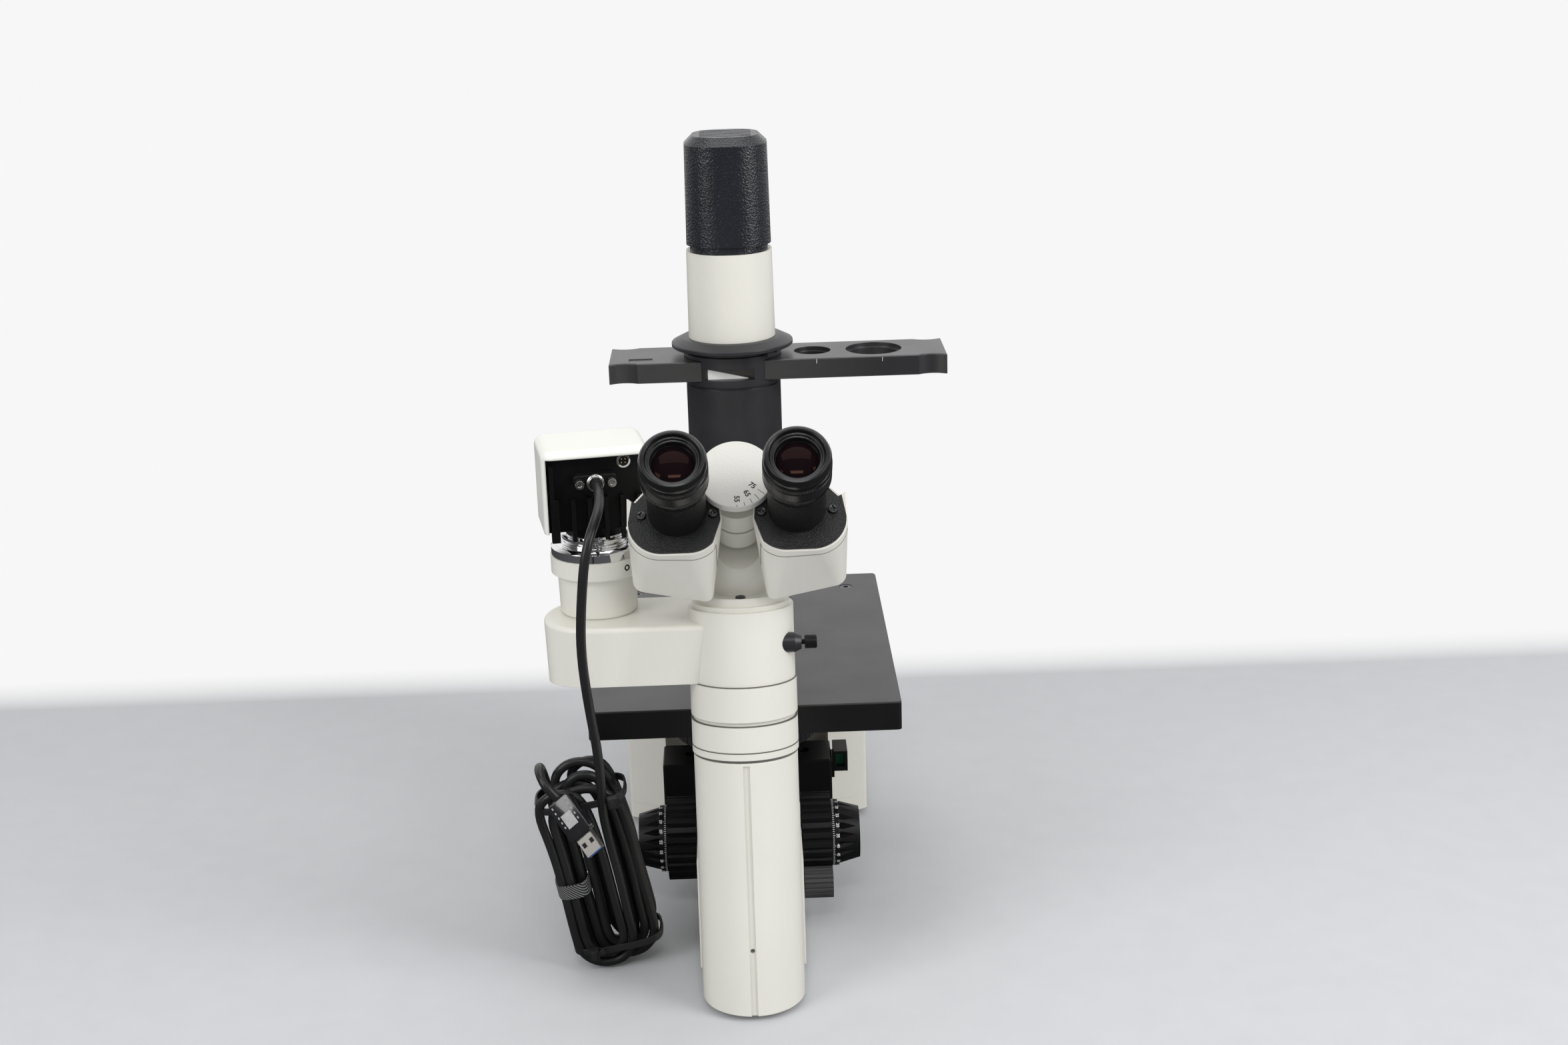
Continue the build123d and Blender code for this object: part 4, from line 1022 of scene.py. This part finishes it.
cord_diameter = 0.006
cord_route = [
    Vector((-83.3, -196.3, 339)),
    Vector((-78.5, -223.5, 338)),
    Vector((-88.5, -247, 317)),
    Vector((-93, -243, 283)),
    Vector((-96, -232, 248)),
    Vector((-94.5, -217, 208)),
    Vector((-91.5, -199, 168)),
    Vector((-91.8, -182.4, 131)),
    in_hank(12, 44, 12.5),
]
bow, shoulder = 0.414, 0.586
turns = [
    (-26, 11, 12, 62, -69),
    (-20, 5, 12, 59, -62),
    (-12, 25, 6, 58, -69),
    (-6, 19, 6, 66, -62),
    (-18.5, 18.5, 0, 61, -69),
    (-12.5, 12.5, 0, 72, -62),
    (-2.2, 23, -6, 69, -62),
    (-22, 24, -12, 70, -69),
]
for number, (left, right, layer, top, foot) in enumerate(turns):
    sway = 1.2 * sin(2.3 * number + 0.7)
    middle = (left + right) / 2
    half = (right - left) / 2
    cord_route += [
        in_hank(right + 0.3 * sway, 20, layer),
        in_hank(right + sway, -6, layer),
        in_hank(right, -34, layer),
        in_hank(right, foot + shoulder * half, layer),
        in_hank(middle + bow * half, foot, layer),
        in_hank(middle - bow * half, foot, layer),
        in_hank(left, foot + shoulder * half, layer),
        in_hank(left, -34, layer),
        in_hank(left + sway, -6, layer),
        in_hank(left + 0.3 * sway, 22, layer),
    ]
    if number < len(turns) - 1:
        next_right, next_layer = turns[number + 1][1:3]
        fan = -0.25 * (top - 50)
        middle = (left + next_right) / 2 + fan
        half = (next_right - left) / 2
        cord_route += [
            in_hank(left + fan, top - shoulder * half, (layer + next_layer) / 2),
            in_hank(middle - bow * half, top, next_layer + sway),
            in_hank(middle + bow * half, top, next_layer + sway),
            in_hank(next_right + fan, top - shoulder * half, next_layer),
        ]
cord_route += [
    in_hank(-22, 46, -12),
    in_hank(-22.5, 66, -12),
    in_hank(-22, 77, -2),
    in_hank(-21, 78, 11),
    in_hank(-17.5, 71, 19.5),
    in_hank(-11.6, 61.8, 19.6),
]
cord_line = bpy.data.curves.new("camera_cord", "CURVE")
cord_line.dimensions = "3D"
cord_line.bevel_depth = cord_diameter / 2
cord_line.bevel_resolution = 4
cord_line.use_fill_caps = True
run = cord_line.splines.new("NURBS")
run.points.add(len(cord_route) - 1)
for point, place in zip(run.points, cord_route):
    point.co = (*spot(*place), 1)
run.order_u = 3
run.use_endpoint_u = True
run.resolution_u = 5
cord_sheath = painted(
    "cord_sheath",
    light=(0.013, 0.013, 0.014),
    dark=(0.018, 0.018, 0.019),
    grain_scale=1800.0,
    grain_depth=0.00003,
    gloss=0.26,
    shine=0.45,
)
cord_line.materials.append(cord_sheath)
cord = bpy.data.objects.new("camera_cord", cord_line)
bpy.context.scene.collection.objects.link(cord)
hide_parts("data_cord", "cord_hank")
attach(cord, "stand")

# Ties: two black nylon cable ties with square heads and cut tails round the hank, and a woven strip
# round the strands of its left side.
hank_turn = Matrix((hank_across, hank_along, hank_front)).transposed()


def strap(made, middle, half_across, half_front, along, width, thick):
    """Adds a flat strap round strands to a bmesh, in the hank's directions and millimetres."""
    steps = 72
    squareness = 3.5
    rows = []
    for step in range(steps):
        angle = 2 * pi * step / steps
        reach = (abs(cos(angle)) ** squareness + abs(sin(angle)) ** squareness) ** (-1 / squareness)
        row = []
        for outward, up in ((0, -0.5), (thick, -0.5), (thick, 0.5), (0, 0.5)):
            across = middle + (half_across + outward) * reach * cos(angle)
            front = (half_front + outward) * reach * sin(angle)
            row.append(made.verts.new(Vector((across, along + up * width, front)) / 1000))
        rows.append(row)
    for here, after in zip(rows, rows[1:] + rows[:1]):
        for side in range(4):
            following = (side + 1) % 4
            made.faces.new((here[side], after[side], after[following], here[following]))


def at_hank(across, along, front, turn=0.0):
    """A placing in the hank's directions and millimetres, turned in its plane."""
    place = Matrix.Translation(Vector((across, along, front)) / 1000)
    return place @ Matrix.Rotation(turn, 4, "Z")


hank_place = Matrix.LocRotScale(spot(*hank_middle), hank_turn, None)
tie_head = (6.4, 7.0, 4.6)
head_step = (3.4, 5.4, 1.6)
cut_tail = (5.0, 3.6, 1.2)
cable_ties = bmesh.new()
for along, half_across, head_across in ((52, 28.4, 21), (-57, 28.6, -16)):
    strap(cable_ties, -0.6, half_across, half_front=16.0, along=along, width=4.6, thick=1.2)
    block(cable_ties, tie_head, at_hank(head_across, along, 18.6))
    block(cable_ties, head_step, at_hank(head_across, along, 21.4))
    block(cable_ties, cut_tail, at_hank(head_across + 5.0, along + 0.6, 19.4, turn=0.3))
tie_nylon = painted(
    "tie_nylon",
    light=(0.014, 0.014, 0.014),
    dark=(0.022, 0.022, 0.022),
    grain_scale=1500.0,
    grain_depth=0.00002,
    gloss=0.26,
)
ties_mesh = as_mesh("cable_ties", cable_ties)
ties = fixed("cable_ties", ties_mesh, hank_place, "stand", tie_nylon)
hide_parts("cord_ties")

woven_black, wire = new_material("woven_black")
weave_place = wire.node("ShaderNodeTexCoord", {}, {}, "Object")
thread = wire.node(
    "ShaderNodeTexWave",
    {"bands_direction": "DIAGONAL"},
    {"Vector": weave_place, "Scale": 300.0},
)
# The lighter diagonal threads are partly the weave and partly a painted sheen on the black strip.
shaded(
    woven_black,
    wire,
    thread.ramp(0.3, 0.9).between((0.012, 0.012, 0.012, 1), (0.2, 0.2, 0.2, 1)),
    0.7 + 0.2 * thread,
    (thread, 0.0003),
)
band = bmesh.new()
strap(band, -19.2, half_across=10.4, half_front=15.6, along=-9, width=10.0, thick=0.9)
band_mesh = as_mesh("woven_band", band)
woven_band = fixed("woven_band", band_mesh, hank_place, "stand", woven_black)

# Plug: a smoked clear housing moulded over a small board at the cord's end, a folded steel shell with
# two windows and a blue tongue.
plug_tilt = Matrix.Rotation(radians(-34), 4, "Y")
plug_place = hank_place @ at_hank(-1.5, 45.6, 27, radians(-58)) @ plug_tilt
smoked_clear, wire = new_material("smoked_clear")
flow = noise(wire, scale=140.0)
shaded(
    smoked_clear,
    wire,
    flow.between((0.007, 0.007, 0.008, 1), (0.014, 0.014, 0.016, 1)),
    0.08 + 0.1 * flow,
    coat_weight=0.7,
)
plug_body = slab("plug_body", length=28, width=17, thick=9, corner=3, middle=(-6, 0, 4.5))
plug = fixed("plug_housing", plug_body, plug_place, "stand", smoked_clear)
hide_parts("cord_plug")
shell_walls = (
    ((14, 12, 0.4), (14, 0, 2.2)),
    ((14, 0.4, 4.5), (14, -5.8, 4.25)),
    ((14, 0.4, 4.5), (14, 5.8, 4.25)),
    ((5.0, 12, 0.4), (9.5, 0, 6.3)),
    ((6.0, 12, 0.4), (18, 0, 6.3)),
    ((3.0, 3.4, 0.4), (13.5, 0, 6.3)),
    ((3.0, 1.6, 0.4), (13.5, -5.2, 6.3)),
    ((3.0, 1.6, 0.4), (13.5, 5.2, 6.3)),
)
plug_shell = bmesh.new()
for size, middle in shell_walls:
    block(plug_shell, size, Matrix.Translation(Vector(middle) / 1000))
shell_steel = turned(
    "shell_steel",
    light=(0.42, 0.40, 0.38),
    dark=(0.34, 0.32, 0.30),
    gloss=0.2,
    lines=900.0,
    axis_stretch=any_way,
)
plug_shell_mesh = as_mesh("plug_shell", plug_shell)
shell = fixed("plug_shell", plug_shell_mesh, plug_place, "stand", shell_steel)
tongue_blue = painted(
    "tongue_blue",
    light=(0.02, 0.16, 0.62),
    dark=(0.03, 0.20, 0.70),
    grain_scale=1500.0,
    grain_depth=0.00002,
    gloss=0.3,
)
tongue_mesh = slab(
    "plug_tongue", length=13.6, width=11, thick=2.6, corner=0.4, middle=(14.1, 0, 3.75)
)
tongue = fixed("plug_tongue", tongue_mesh, plug_place, "stand", tongue_blue)
# The hollow over the tongue is painted shade: a thin slab in the cord's black fills it.
hollow_mesh = slab(
    "plug_hollow_shade", length=12, width=11, thick=1.0, corner=0.3, middle=(13.2, 0, 5.58)
)
hollow = fixed("plug_hollow_shade", hollow_mesh, plug_place, "stand", cord_sheath)
chip_size = (10, 8, 0.3)
pad_size = (1.6, 1.0, 0.3)
pad_row = 0.0055
pad_pitch = 0.0036
board_bits = bmesh.new()
block(board_bits, chip_size, Matrix.Translation((-0.005, 0.0, 0.00915)))
for number in range(10):
    pad_x = -0.017 + pad_pitch * (number % 5)
    pad_y = -pad_row if number < 5 else pad_row
    block(board_bits, pad_size, Matrix.Translation((pad_x, pad_y, 0.0091)))
solder = turned(
    "solder",
    light=(0.5, 0.5, 0.5),
    dark=(0.36, 0.36, 0.36),
    gloss=0.3,
    lines=700.0,
    axis_stretch=any_way,
)
board_mesh = as_mesh("plug_board", board_bits)
bits = fixed("plug_board", board_mesh, plug_place, "stand", solder)
